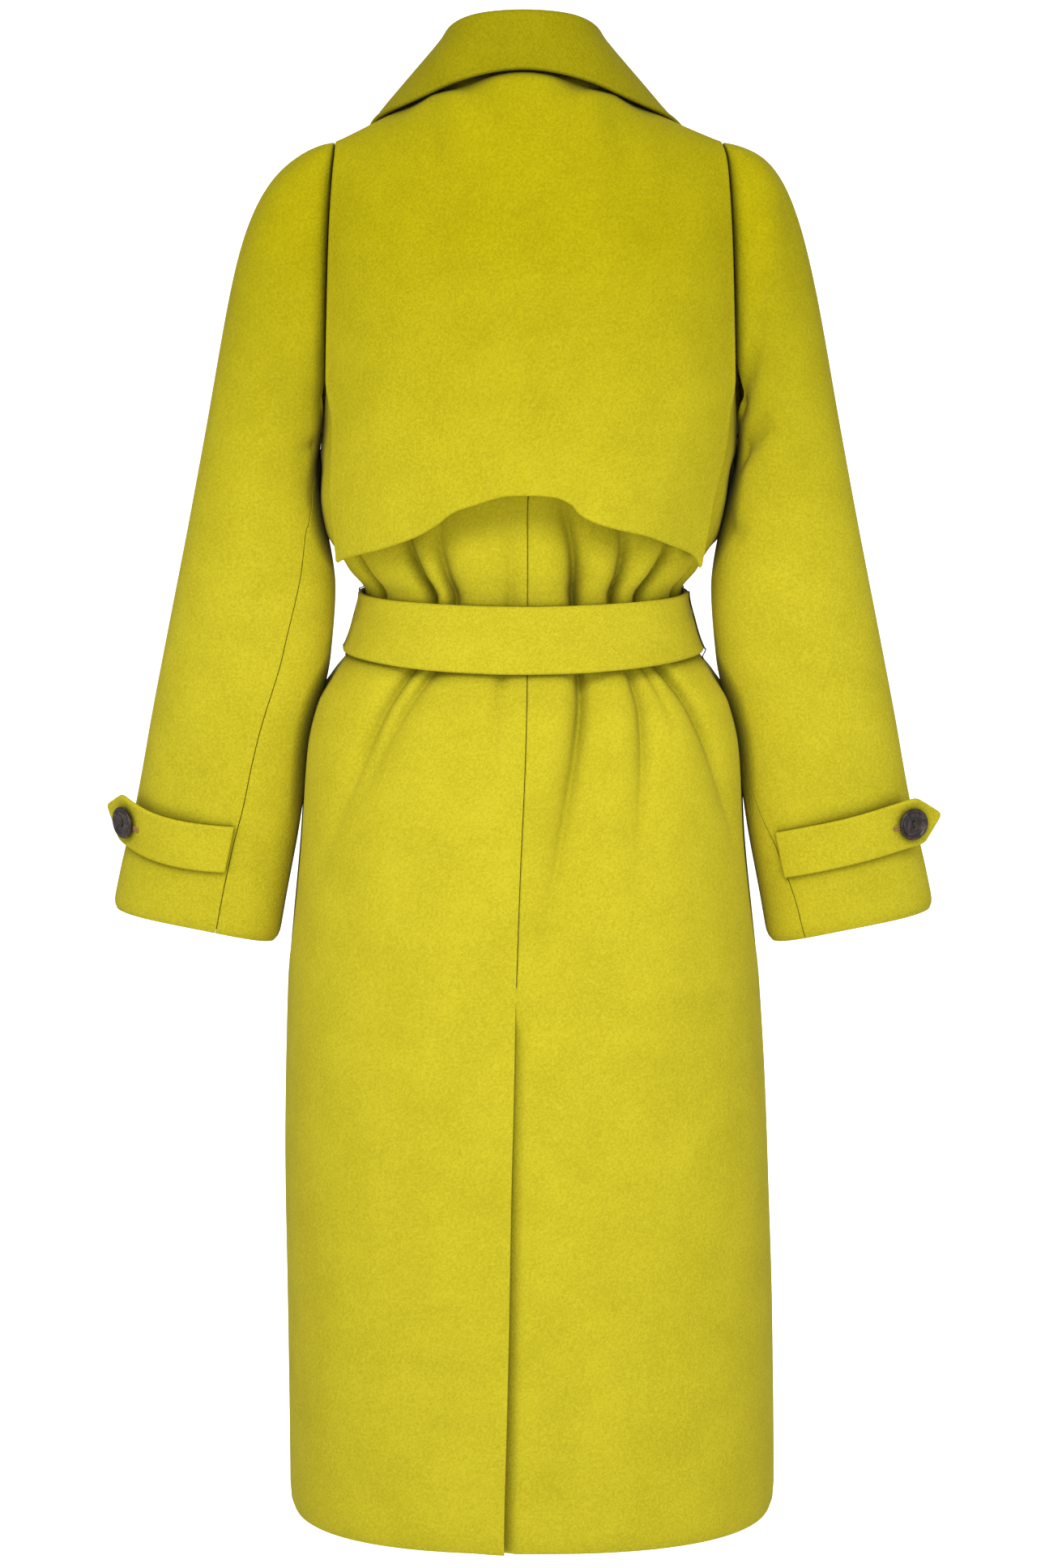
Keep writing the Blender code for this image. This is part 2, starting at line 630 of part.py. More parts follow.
def clear_of_torso(points, back_lift, front_lift):
    """Moves points out until they clear the plain torso by the lift of that side.

    They move up near the ridge, and elsewhere back or to the front.
    """
    x, y, height = points[..., 0], points[..., 1], points[..., 2] + MOUNT_HEIGHT
    front = y > RIDGE_Y
    flat = np.where(front, depth_at_underarm(x, True), depth_at_underarm(x, False))
    lean = np.clip((y - RIDGE_Y) / (flat - RIDGE_Y), 0.0, 1.0) ** (1 / ARCH_POWER)
    lift = np.where(front, front_lift, back_lift)
    top = UNDERARM_HEIGHT + (ridge(x) - UNDERARM_HEIGHT) * np.sqrt(1 - lean**2) + 1.1 * lift
    face = np.where(front, surface_y(x, height, True) + lift, surface_y(x, height, False) - lift)
    clear = np.where(front, np.maximum(y, face), np.minimum(y, face))
    points[..., 2] = np.where(lean < 0.4, np.maximum(height, top), height) - MOUNT_HEIGHT
    points[..., 1] = np.where((lean >= 0.4) & (height < ridge(x)), clear, y)
    return points


def collar_curve(step):
    """The collar's middle line at a step from -1 to 1: up the stand, over the roll and down the fall."""
    rows = len(COLLAR["seam_x"]) - 1
    here = {}
    for name, values in COLLAR.items():
        mirrored = np.concatenate([values[:0:-1] * (-1 if name.endswith("_x") else 1), values])
        smooth = {"step": np.linspace(-1, 1, 2 * rows + 1), "value": mirrored}
        here[name] = float(along(smooth, "value", np.array(step), key="step"))
    seam, roll, edge = (np.array([here[f"{k}_x"], here[f"{k}_y"], here[f"{k}_h"] - MOUNT_HEIGHT])
                        for k in ("seam", "roll", "edge"))
    up = np.array((0.0, 0.0, 1.0))
    out = (edge - roll) * np.array((1, 1, 0))
    out /= np.linalg.norm(out)
    radius = here["roll_radius"]
    centre = roll - radius * up
    arc = [centre + radius * (-math.cos(a) * out + math.sin(a) * up) for a in np.linspace(0, math.pi, 5)]
    fall = [arc[-1] + (edge - arc[-1]) * t + FALL_ROUNDING * math.sin(math.pi * t) * (out + up)
            for t in (0.3, 0.65, 1.0)]
    points = np.array([seam, (seam + arc[0]) / 2] + arc + fall)
    points[-3:] = clear_of_torso(points[-3:], COLLAR_BACK_LIFT, COLLAR_FRONT_LIFT)
    return points, out


def collar():
    outer, inner = [], []
    for step in np.linspace(-1, 1, COLLAR_COLUMNS):
        points, out = collar_curve(step)
        tangent = np.gradient(points, axis=0)
        side = np.cross(out, (0.0, 0.0, 1.0))
        normal = np.cross(side, tangent)
        normal /= np.linalg.norm(normal, axis=1, keepdims=True)
        outer.append(points + normal * COLLAR_CLOTH / 2)
        inner.append(points - normal * COLLAR_CLOTH / 2)
    return wall("collar", np.array(outer), np.array(inner))


def lapel(name, sign):
    """A front turned back along the roll line.

    The wearer's left lapel starts where the right front uncovers it.
    """
    top_h = LAPEL_TOP_ROLL[1]
    heights = np.linspace(BREAK_HEIGHT + 0.004 if sign > 0 else LEFT_LAPEL_FOOT, top_h, LAPEL_ROWS)
    share = (heights - BREAK_HEIGHT) / (top_h - BREAK_HEIGHT)
    roll = roll_x(heights) + 0.0008
    inner_x = roll if sign > 0 else np.maximum(roll, 0.002 - roll_x(heights))
    wide = LAPEL_FOOT_WIDTH + (LAPEL_POINT[0] - LAPEL_TOP_ROLL[0]) * share**0.8
    across = np.linspace(0.0, 1.0, LAPEL_COLUMNS)[None, :]
    x = sign * (inner_x[:, None] + (roll + wide - inner_x)[:, None] * across)
    height = heights[:, None] + ((LAPEL_POINT[1] - top_h) * share)[:, None] * across
    tuck = FRONT_TUCK * ramp(x, -0.112, -0.080) if sign < 0 else 0.0 * x
    lift = LAPEL_ROLL_GAP + (LAPEL_GAP - LAPEL_ROLL_GAP) * ramp(across, 0.0, 0.6)
    inner, out = lifted(front_face, x, height, lift - tuck, flip=True)
    return wall(name, inner + CLOTH * out, inner)


# Sleeves, straps and buttons


def armhole(angle):
    """The seam line that a sleeve hangs from. Angle 0 is the shoulder, a quarter turn the back."""
    climb = (1 + np.cos(angle)) / 2
    x = along(ARMHOLE, "x", climb, key="climb")
    front = (np.sin(angle) < 0)[..., None]
    seam = np.where(front, yoke(x, climb, True), yoke(x, climb, False))
    seam[..., 0] += ARMHOLE_CLEARANCE
    seam[..., 2] += SLEEVE_HEAD * np.maximum(np.cos(angle), 0.0) ** 2
    return seam


def sleeve_ring(angle, station):
    row = {name: along(SLEEVE, name, station, key="station") for name in SLEEVE if name != "station"}
    middle_x, middle_h = (row["outer_x"] + row["inner_x"]) / 2, (row["outer_h"] + row["inner_h"]) / 2
    x = middle_x + (row["outer_x"] - row["inner_x"]) / 2 * np.cos(angle)
    height = middle_h + (row["outer_h"] - row["inner_h"]) / 2 * np.cos(angle)
    return np.stack([x, row["centre_y"] - row["half_depth"] * np.sin(angle), height - MOUNT_HEIGHT], axis=-1)


def sleeve(angle, run):
    """The right sleeve's outer face. Run is -1 at the armhole, 0 at the biceps and 1 at the cuff."""
    angle, run = np.broadcast_arrays(np.asarray(angle, float), np.asarray(run, float))
    start, end = armhole(angle), sleeve_ring(angle, np.zeros(angle.shape))
    out, up = 0.55 + 0.43 * np.cos(angle), -0.6 + 0.45 * np.cos(angle)
    away = np.stack([out, -0.35 * np.sin(angle), up], axis=-1)
    away /= np.linalg.norm(away, axis=-1, keepdims=True)
    upward = sleeve_ring(angle, np.zeros(angle.shape)) - sleeve_ring(angle, np.full(angle.shape, 0.05))
    upward /= np.linalg.norm(upward, axis=-1, keepdims=True)
    reach = np.linalg.norm(end - start, axis=-1, keepdims=True)
    t = np.clip(run + 1, 0.0, 1.0)[..., None]
    second, third = start + CAP_OUT * reach * away, end + CAP_UP * reach * upward
    cap = (1 - t) ** 3 * start + 3 * t * (1 - t) ** 2 * second + 3 * t * t * (1 - t) * third + t**3 * end
    return np.where((run < 0)[..., None], cap, sleeve_ring(angle, np.clip(run, 0.0, 1.0)))


def back_sleeve_seam(side, run):
    return np.radians(along(SLEEVE_SEAM, side["seam"], np.asarray(run), key="run"))


def mirrored(points, sign):
    return points * np.array((sign, 1, 1))


def sleeve_piece(name, side, upper):
    runs = np.concatenate([CAP_SHARES - 1, SLEEVE_STATIONS])[:, None]
    seam = back_sleeve_seam(side, runs)
    if upper:
        share = np.linspace(0.0, 1.0, UPPER_SLEEVE_COLUMNS)[None, :]
        angle = FRONT_SLEEVE_SEAM - 2 * math.pi + (seam - FRONT_SLEEVE_SEAM + 2 * math.pi) * share
    else:
        share = np.linspace(0.0, 1.0, UNDER_SLEEVE_COLUMNS)[None, :]
        angle = seam + (FRONT_SLEEVE_SEAM - seam) * share
    half_gap = SEAM_GAP / 2 / 0.05
    angle = angle + half_gap * (1 - 2 * share)
    outer, out = lifted(sleeve, angle, np.broadcast_to(runs, angle.shape), 0.0)
    inner = outer - CLOTH * out
    inner[0, :, 0] = np.maximum(inner[0, :, 0], outer[0, :, 0])
    return wall(name, mirrored(outer, side["sign"]), mirrored(inner, side["sign"]))


def strap_frame(side):
    """Angle and length tables of a strap's way round its sleeve, and the frame where it leaves."""
    run = np.array(STRAP_STATION)
    first, last = float(back_sleeve_seam(side, run)) - 0.03, math.radians(side["strap_leaves"])
    angles = np.linspace(first, last, 60)
    path = sleeve(angles, np.full(60, STRAP_STATION))
    lengths = np.concatenate([[0.0], np.cumsum(np.linalg.norm(np.diff(path, axis=0), axis=1))])
    ahead = path[-1] - path[-2]
    return angles, lengths, ahead / np.linalg.norm(ahead)


def strap_face(side, length, across):
    """The strap's inner face: round the sleeve first, then straight on past it."""
    angles, lengths, ahead = strap_frame(side)
    length, across = np.broadcast_arrays(np.asarray(length, float), np.asarray(across, float))
    on = np.minimum(length, lengths[-1])
    sleeve_length = np.linalg.norm(sleeve_ring(0.0, np.array(0.9)) - sleeve_ring(0.0, np.array(0.8))) / 0.1
    run = np.clip(STRAP_STATION + (across - side["strap_tilt"] * length) / sleeve_length, 0.0, 0.999)
    angle = np.interp(on, lengths, angles)
    lift = STRAP_LIFT + side["strap_gape"] * ramp(length, 0.0, 0.1) * (0.5 - across / STRAP_WIDTH)
    face = lifted(sleeve, angle, run, lift)[0]
    return face + (length - on)[..., None] * ahead


def strap_grid(side):
    total = strap_frame(side)[1][-1] + side["strap_free"]
    body = np.linspace(0.0, total - STRAP_POINT, STRAP_ROWS - 4)
    tip = total - STRAP_POINT * np.array((0.72, 0.42, 0.16, 0.0))
    lengths = np.concatenate([body, tip])[:, None]
    half = np.concatenate([np.full(len(body), 1.0), (0.95, 0.72, 0.42, 0.20)])[:, None] * STRAP_WIDTH / 2
    return lengths, half * np.linspace(-1.0, 1.0, STRAP_COLUMNS)[None, :], total


def cuff_strap(name, side):
    lengths, across, _ = strap_grid(side)
    inner, out = lifted(lambda a, b: strap_face(side, a, b), np.broadcast_to(lengths, across.shape), across,
                        0.0, flip=True)
    return wall(name, mirrored(inner + STRAP_CLOTH * out, side["sign"]), mirrored(inner, side["sign"]))


def button(name, side):
    """A dished button with a raised rim and two holes, lying on the strap's end."""
    total = strap_grid(side)[2]
    centre, out = lifted(lambda a, b: strap_face(side, a, b), np.array(total - BUTTON_FROM_TIP),
                         np.array(0.0), np.array(STRAP_CLOTH + LAYER_GAP), flip=True)
    ahead = strap_frame(side)[2]
    z = Vector(mirrored(out, side["sign"])).normalized()
    x = Vector(mirrored(ahead, side["sign"]))
    x = (x - x.dot(z) * z).normalized()
    frame = Matrix((x, z.cross(x), z)).transposed().to_4x4()
    frame.translation = Vector(mirrored(centre, side["sign"]))
    r, top = BUTTON_RADIUS, BUTTON_HEIGHT
    profile = [(0.0, 0.0), (r * 0.72, 0.0), (r * 0.93, top * 0.3), (r, top * 0.62), (r * 0.95, top * 0.93),
               (r - 0.4 * BUTTON_RIM, top), (r - BUTTON_RIM, top - BUTTON_DISH * 0.8),
               (r * 0.45, top - BUTTON_DISH), (0.0, top - BUTTON_DISH)]
    made = bmesh.new()
    line = [made.verts.new((a, 0.0, b)) for a, b in profile]
    edges = [made.edges.new(pair) for pair in zip(line, line[1:])]
    bmesh.ops.spin(made, geom=line + edges, cent=(0, 0, 0), axis=(0, 0, 1), angle=2 * math.pi,
                   steps=BUTTON_SIDES, use_merge=True)
    bmesh.ops.remove_doubles(made, verts=made.verts, dist=1e-6)
    bmesh.ops.recalc_face_normals(made, faces=made.faces)
    mesh = bpy.data.meshes.new(name)
    made.to_mesh(mesh)
    made.free()
    body = add_object(name, mesh, HORN)
    body.matrix_world = frame
    for i, away in enumerate((-BUTTON_HOLE_OFFSET, BUTTON_HOLE_OFFSET)):
        cutter = bmesh.new()
        bmesh.ops.create_cone(cutter, cap_ends=True, segments=10, radius1=BUTTON_HOLE_RADIUS,
                              radius2=BUTTON_HOLE_RADIUS, depth=4 * BUTTON_HEIGHT)
        cut_mesh = bpy.data.meshes.new(f"{name}_hole_{i}")
        cutter.to_mesh(cut_mesh)
        cutter.free()
        hole = add_object(f"{name}_hole_{i}", cut_mesh, HORN)
        hole.matrix_world = frame @ Matrix.Translation((0.0, away, BUTTON_HEIGHT / 2))
        hole.hide_render = True
        cut = body.modifiers.new(f"hole_{i}", "BOOLEAN")
        cut.operation, cut.solver, cut.object = "DIFFERENCE", "MANIFOLD", hole
    return body


# Belt


def belt_face(turn, share):
    """The belt's inner face, from its lower edge at 0 to its upper edge at 1."""
    back = ramp(1 - np.abs(turn), 0.0, 1.0)
    high = BELT_HIGH - BELT_BACK_DROP * back
    low = BELT_LOW - (BELT_BACK_DROP + BELT_BACK_WIDENING) * back
    return section(turn, low + (high - low) * share, gathered=False)


def belt_band():
    turns = np.linspace(-BELT_KNOT_TURN, BELT_KNOT_TURN, BELT_COLUMNS)[:, None]
    shares = np.linspace(0.0, 1.0, BELT_ROWS)[None, :]
    inner, out = lifted(belt_face, np.broadcast_to(turns, (BELT_COLUMNS, BELT_ROWS)),
                        np.broadcast_to(shares, (BELT_COLUMNS, BELT_ROWS)), BELT_GAP)
    return wall("belt_band", inner + BELT_CLOTH * out, inner)


def belt_knot():
    wide, deep, tall = (size / 2 for size in KNOT_SIZE)
    power = 2 / KNOT_SQUARENESS
    front = along(TORSO, "front_depth", BELT_MIDDLE)
    centre = np.array((0.0, front + deep + KNOT_GAP, BELT_MIDDLE - MOUNT_HEIGHT))
    made = bmesh.new()

    def rounded(value):
        return math.copysign(abs(value) ** power, value)

    rings = []
    for i in range(1, KNOT_RINGS):
        lift = math.pi * (i / KNOT_RINGS - 0.5)
        turns = [2 * math.pi * j / KNOT_SIDES for j in range(KNOT_SIDES)]
        rings.append([made.verts.new(centre + np.array((
            wide * rounded(math.cos(lift)) * rounded(math.cos(a)),
            deep * rounded(math.cos(lift)) * rounded(math.sin(a)),
            tall * rounded(math.sin(lift))))) for a in turns])
    poles = [made.verts.new(centre + np.array((0, 0, end * tall))) for end in (-1, 1)]
    for j in range(KNOT_SIDES):
        k = (j + 1) % KNOT_SIDES
        made.faces.new((poles[0], rings[0][k], rings[0][j]))
        made.faces.new((poles[1], rings[-1][j], rings[-1][k]))
        for low, high in zip(rings, rings[1:]):
            made.faces.new((low[j], low[k], high[k], high[j]))
    bmesh.ops.recalc_face_normals(made, faces=made.faces)
    mesh = bpy.data.meshes.new("belt_knot")
    made.to_mesh(mesh)
    made.free()
    return add_object("belt_knot", mesh, WOOL)


def belt_tail(name, top_x, low_x, lift):
    top = BELT_MIDDLE - KNOT_SIZE[2] / 2 - BELT_TAIL_DROP
    share = np.linspace(0.0, 1.0, BELT_TAIL_ROWS)[:, None]
    wide = BELT_TAIL_TOP_WIDTH + (BELT_TAIL_WIDTH - BELT_TAIL_TOP_WIDTH) * ramp(share, 0.0, 0.3)
    x = top_x + (low_x - top_x) * share + wide * np.linspace(-0.5, 0.5, BELT_TAIL_COLUMNS)[None, :]
    height = np.broadcast_to(top - BELT_TAIL_LENGTH * share, x.shape)
    inner, out = lifted(front_face, x, height, BELT_TAIL_CLEARANCE + lift + 0.0 * x, flip=True)
    return wall(name, inner + BELT_CLOTH * out, inner)


def belt_loop(name, sign):
    """A thread loop that holds the belt at the side seam."""
    heights = np.array((BELT_LOW - 0.020, BELT_LOW - 0.007, BELT_LOW, BELT_MIDDLE, BELT_HIGH,
                        BELT_HIGH + 0.006, BELT_HIGH + 0.014))
    body = along(TORSO, "half_width", heights)
    belt = body + BELT_GAP + BELT_CLOTH
    on_belt = (heights > BELT_LOW - 0.010) & (heights < BELT_HIGH + 0.010)
    x = np.where(on_belt, belt, body) + LOOP_RADIUS + LOOP_STANDOFF
    made = bmesh.new()
    turns = [2 * math.pi * j / LOOP_SIDES for j in range(LOOP_SIDES)]
    rings = [[made.verts.new((sign * (at_x + LOOP_RADIUS * math.cos(a)), LOOP_RADIUS * math.sin(a),
                              height - MOUNT_HEIGHT)) for a in turns] for at_x, height in zip(x, heights)]
    for low, high in zip(rings, rings[1:]):
        for j in range(LOOP_SIDES):
            k = (j + 1) % LOOP_SIDES
            made.faces.new((low[j], low[k], high[k], high[j]))
    made.faces.new(rings[0])
    made.faces.new(rings[-1])
    bmesh.ops.recalc_face_normals(made, faces=made.faces)
    mesh = bpy.data.meshes.new(name)
    made.to_mesh(mesh)
    made.free()
    return add_object(name, mesh, THREAD)


def build():
    back_panel("back_right", 1)
    back_panel("back_left", -1)
    front_panel("front_right", 1)
    front_panel("front_left", -1)
    storm_flap()
    collar()
    lapel("lapel_right", 1)
    lapel("lapel_left", -1)
    for name, side in SLEEVE_SIDES.items():
        sleeve_piece(f"sleeve_{name}_upper", side, True)
        sleeve_piece(f"sleeve_{name}_under", side, False)
        cuff_strap(f"cuff_strap_{name}", side)
        button(f"button_{name}", side)
        belt_loop(f"belt_loop_{name}", side["sign"])
        belt_tail(f"belt_tail_{name}", *BELT_TAILS[name])
    belt_band()
    belt_knot()


for old in list(bpy.data.objects):
    bpy.data.objects.remove(old)
build()
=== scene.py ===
"""Looks of a belted wool coat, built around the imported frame.

Metres, +Z up. +Y is the wearer's front and +X the wearer's right. Heights are measured up from the hem.
"""

import math

import bmesh
import bpy
import numpy as np
from mathutils import Matrix, Vector


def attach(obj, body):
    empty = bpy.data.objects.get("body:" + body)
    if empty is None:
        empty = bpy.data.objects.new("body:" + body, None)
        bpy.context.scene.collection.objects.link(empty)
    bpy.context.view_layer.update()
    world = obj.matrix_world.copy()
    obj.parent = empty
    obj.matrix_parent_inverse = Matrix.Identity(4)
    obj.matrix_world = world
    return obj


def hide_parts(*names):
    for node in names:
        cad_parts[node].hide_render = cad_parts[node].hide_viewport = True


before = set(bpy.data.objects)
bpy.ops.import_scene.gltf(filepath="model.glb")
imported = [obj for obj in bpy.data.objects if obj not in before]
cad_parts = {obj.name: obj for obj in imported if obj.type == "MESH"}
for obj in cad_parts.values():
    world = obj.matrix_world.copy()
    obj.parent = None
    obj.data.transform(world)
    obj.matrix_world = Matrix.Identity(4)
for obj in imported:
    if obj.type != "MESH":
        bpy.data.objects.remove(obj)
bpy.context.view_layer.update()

# Cloth
CLOTH = 0.0022
FLAP_CLOTH = 0.0030
COLLAR_CLOTH = 0.0034
BELT_CLOTH = 0.0040
STRAP_CLOTH = 0.0036
SEAM_GAP = 0.0002
LAYER_GAP = 0.0006
LIP_IN = 0.0024
LIP_WIDE = 0.0022
SEWN = 0.4
HANG_SHIFT = 0.0055
HANG_FROM = (0.79, 0.86)
HANG_TO = (1.055, 1.10)
HANG_SIDE = (0.168, 0.225)
TAPE_CLOTH = 0.0010
TAPE_HALF = 0.006
TAPE_GAP = 0.0005
ARMHOLE_TAPE_IN = CLOTH + 0.0048
ARMHOLE_TAPE_RUN = -0.93
ARMHOLE_TAPE_ANGLES = (-2.85, -0.06)

# Heights
MOUNT_HEIGHT = 1.10
UNDERARM_HEIGHT = 0.836
BELT_LOW = 0.677
BELT_HIGH = 0.725
BELT_MIDDLE = (BELT_LOW + BELT_HIGH) / 2
VENT_TOP = 0.40

# Shape of the sections
SQUARENESS = 2.4
DEPTH_RATIO = 0.78
RIDGE_Y = -0.004
ARCH_POWER = 0.8
STEP = 1e-4

# Overlaps
VENT_UNDERLAP = 0.045
VENT_LIFT = 0.004
VENT_EDGE = 0.030
VENT_TUCK = 0.0012
FRONT_OVERLAP = 0.32
FRONT_TUCK = CLOTH + 0.0020
FRONT_TUCK_X = (-0.112, -0.080)
BREAK_HEIGHT = 0.792
NECK_SIDE_X = 0.070
NECK_BACK_ANGLE = 1.262
NECK_POWER = 2.2


def table(columns, *rows):
    """A table of numbers with named columns."""
    return {name: np.array(values) for name, values in zip(columns.split(), zip(*rows))}


def each_row(rows):
    names = list(rows)
    return [dict(zip(names, values)) for values in zip(*rows.values())]


TORSO = table(
    "height half_width back_depth front_depth centre_x",
    (0.000, 0.1920, 0.166, 0.160, 0.0070),
    (0.150, 0.1915, 0.161, 0.154, 0.0055),
    (0.280, 0.1900, 0.155, 0.147, 0.0025),
    (0.350, 0.1880, 0.151, 0.143, 0.0015),
    (0.445, 0.1830, 0.144, 0.135, 0.0000),
    (0.530, 0.1755, 0.137, 0.127, -0.0005),
    (0.605, 0.1705, 0.128, 0.119, 0.0000),
    (0.640, 0.1625, 0.119, 0.112, 0.0000),
    (0.662, 0.1485, 0.107, 0.104, 0.0000),
    (0.680, 0.1345, 0.100, 0.099, 0.0000),
    (0.701, 0.1275, 0.096, 0.096, 0.0000),
    (0.725, 0.1225, 0.094, 0.094, 0.0000),
    (0.745, 0.1380, 0.102, 0.103, 0.0000),
    (0.774, 0.1560, 0.112, 0.116, 0.0000),
    (0.803, 0.1600, 0.117, 0.125, 0.0000),
    (0.836, 0.1605, 0.118, 0.128, 0.0000),
)

SHOULDER = table(
    "x ridge",
    (0.000, 1.1400),
    (0.040, 1.1240),
    (0.070, 1.1030),
    (0.118, 1.0790),
    (0.148, 1.0655),
    (0.170, 1.0560),
)

ARMHOLE = table(
    "climb x",
    (0.00, 0.1605),
    (0.05, 0.1590),
    (0.12, 0.1570),
    (0.25, 0.1560),
    (0.50, 0.1540),
    (0.75, 0.1510),
    (1.00, 0.1480),
)

# One row for each pleat that the belt draws in. A turn of 0 is the centre back, 1 and -1 are the side
# seams, and 2 is the centre front. Leans are in turns a metre, and widths are the pleat's two flanks.
PLEATS_ABOVE = table(
    "turn lean depth left right reach",
    (-1.80, 0.0, 0.0070, 0.0050, 0.0060, 0.090),
    (-1.55, 0.3, 0.0090, 0.0060, 0.0050, 0.100),
    (-1.30, 0.2, 0.0080, 0.0050, 0.0070, 0.090),
    (-0.72, 0.2, 0.0120, 0.0050, 0.0060, 0.080),
    (-0.405, -0.5, 0.0125, 0.0065, 0.0035, 0.105),
    (-0.305, 0.1, 0.0110, 0.0045, 0.0060, 0.090),
    (-0.055, 0.3, 0.0050, 0.0080, 0.0110, 0.110),
    (0.225, -1.2, 0.0150, 0.0055, 0.0060, 0.115),
    (0.405, -0.9, 0.0120, 0.0050, 0.0045, 0.100),
    (0.535, 0.7, 0.0115, 0.0045, 0.0065, 0.095),
    (0.80, 0.4, 0.0080, 0.0060, 0.0050, 0.080),
    (1.33, 0.0, 0.0080, 0.0060, 0.0050, 0.090),
    (1.56, 0.2, 0.0090, 0.0050, 0.0060, 0.100),
    (1.80, 0.0, 0.0070, 0.0060, 0.0050, 0.090),
)
PLEATS_BELOW = table(
    "turn lean depth left right reach",
    (-1.80, 0.0, 0.0065, 0.0060, 0.0070, 0.17),
    (-1.58, 0.4, 0.0080, 0.0060, 0.0080, 0.24),
    (-1.34, 0.5, 0.0080, 0.0070, 0.0060, 0.20),
    (-0.430, -1.5, 0.0090, 0.0080, 0.0055, 0.19),
    (-0.335, -1.9, 0.0080, 0.0060, 0.0080, 0.13),
    (-0.080, -0.2, 0.0040, 0.0050, 0.0060, 0.16),
    (0.215, -0.75, 0.0140, 0.0040, 0.0140, 0.32),
    (0.415, -0.4, 0.0095, 0.0040, 0.0110, 0.23),
    (0.490, 0.3, 0.0045, 0.0040, 0.0050, 0.07),
    (0.560, 1.4, 0.0095, 0.0070, 0.0050, 0.18),
    (1.37, -0.4, 0.0080, 0.0060, 0.0070, 0.20),
    (1.60, -0.3, 0.0075, 0.0080, 0.0060, 0.24),
    (1.82, 0.0, 0.0060, 0.0060, 0.0060, 0.16),
)
PLEAT_FULL_BY = 0.012
PLEAT_AT_BELT = 0.95
PLEAT_SPREAD = 0.105
PLEAT_POINT = 1.15
PLEAT_GAIN = {"above": 1.45, "below": 1.40}
PLEAT_FADE_FROM = 0.12
FLAP_RECESS = 0.018
FLAP_RECESS_TURNS = (0.45, 0.85)
FLAP_RECESS_FROM = (0.745, 0.800)
FLAP_RECESS_TO = (0.814, 0.836)

# Hollows in the sides, where the hanging sleeves press. The last row swells the front corner out instead.
SIDE_HOLLOWS = table(
    "turn depth wide low0 low1 high0 high1",
    (0.955, 0.0150, 0.0120, 0.430, 0.500, 0.630, 0.672),
    (1.000, 0.0080, 0.0220, 0.735, 0.760, 0.815, 0.836),
    (1.230, -0.0110, 0.0300, 0.740, 0.770, 0.828, 0.840),
)
HOLLOW_POWER = 1.6

BACK_SEAM = table(
    "height x",
    (0.000, -0.0220),
    (0.120, -0.0180),
    (0.285, -0.0110),
    (0.400, -0.0065),
    (0.700, 0.0030),
    (0.840, 0.0030),
)

# The storm flap's free lower edge, by its share of the way from the centre back to the side.
FLAP_EDGE = table(
    "share height",
    (-1.000, 0.7520),
    (-0.600, 0.7630),
    (-0.407, 0.7755),
    (-0.324, 0.7850),
    (-0.254, 0.7955),
    (-0.163, 0.8020),
    (-0.060, 0.8079),
    (0.020, 0.8083),
    (0.110, 0.8070),
    (0.187, 0.8007),
    (0.212, 0.7946),
    (0.260, 0.7884),
    (0.367, 0.7820),
    (0.500, 0.7755),
    (0.620, 0.7675),
    (0.760, 0.7600),
    (1.000, 0.7480),
)
FLAP_GAP = 0.0020
FLAP_SIDE_SHARE = 0.990
FLAP_SIDE_X = 0.1535
FLAP_TOP_CLIMB = 0.975
FLAP_LOW_CLIMB = 0.06
FLAP_BELL = 0.085
FLAP_SEAM_REACH = 0.0002
FLAP_SEWN_CLIMBS = (0.06, 0.16)
FLAP_FULLNESS = 0.011
FLAP_FULL_ACROSS = (0.045, 0.112)
FLAP_FULL_FROM = (0.50, 0.83)
FLAP_FULL_TO = (0.81, 0.925)
FLAP_FULL_TO_MIDDLE = (0.880, 0.979)
FLAP_MIDDLE = (0.016, 0.048)
FLAP_NARROWING = {"left": 0.060, "right": 0.105}

# Half of the collar, from the centre back to its front end.
COLLAR = table(
    "seam_x seam_y seam_h roll_x roll_y roll_h edge_x edge_y edge_h roll_radius",
    (0.0000, -0.0495, 1.1275, 0.0000, -0.0510, 1.1690, 0.0000, -0.070, 1.1255, 0.0050),
    (0.0340, -0.0435, 1.1255, 0.0340, -0.0440, 1.1665, 0.0440, -0.062, 1.1180, 0.0050),
    (0.0590, -0.0225, 1.1195, 0.0520, -0.0220, 1.1590, 0.0830, -0.040, 1.1010, 0.0050),
    (0.0670, 0.0060, 1.1080, 0.0565, 0.0070, 1.1510, 0.1155, -0.003, 1.0865, 0.0050),
    (0.0605, 0.0440, 1.0890, 0.0585, 0.0475, 1.1220, 0.1280, 0.034, 1.0640, 0.0046),
    (0.0500, 0.0710, 1.0680, 0.0515, 0.0745, 1.0880, 0.1230, 0.066, 1.0410, 0.0043),
    (0.0405, 0.0865, 1.0430, 0.0435, 0.0895, 1.0580, 0.1090, 0.086, 1.0140, 0.0040),
)
COLLAR_BACK_LIFT = FLAP_GAP + FLAP_CLOTH + COLLAR_CLOTH / 2 + 0.0020
COLLAR_FRONT_LIFT = COLLAR_CLOTH / 2 + 0.0012
FALL_ROUNDING = 0.001
NECK_FACING_CLOTH = 0.0012
NECK_FACING_HALF = 0.056
NECK_FACING_LOW = 0.88
NECK_FACING_GAP = 0.0012
NECK_FACING_IN = 0.0042
NECK_FACING_UP = 0.0060

LAPEL_TOP_ROLL = (0.0525, 1.0465)
LAPEL_POINT = (0.1300, 0.9945)
LAPEL_GAP = 0.0028
LAPEL_ROLL_GAP = 0.0013
LAPEL_FOOT_WIDTH = 0.012
LEFT_LAPEL_FOOT = 0.918

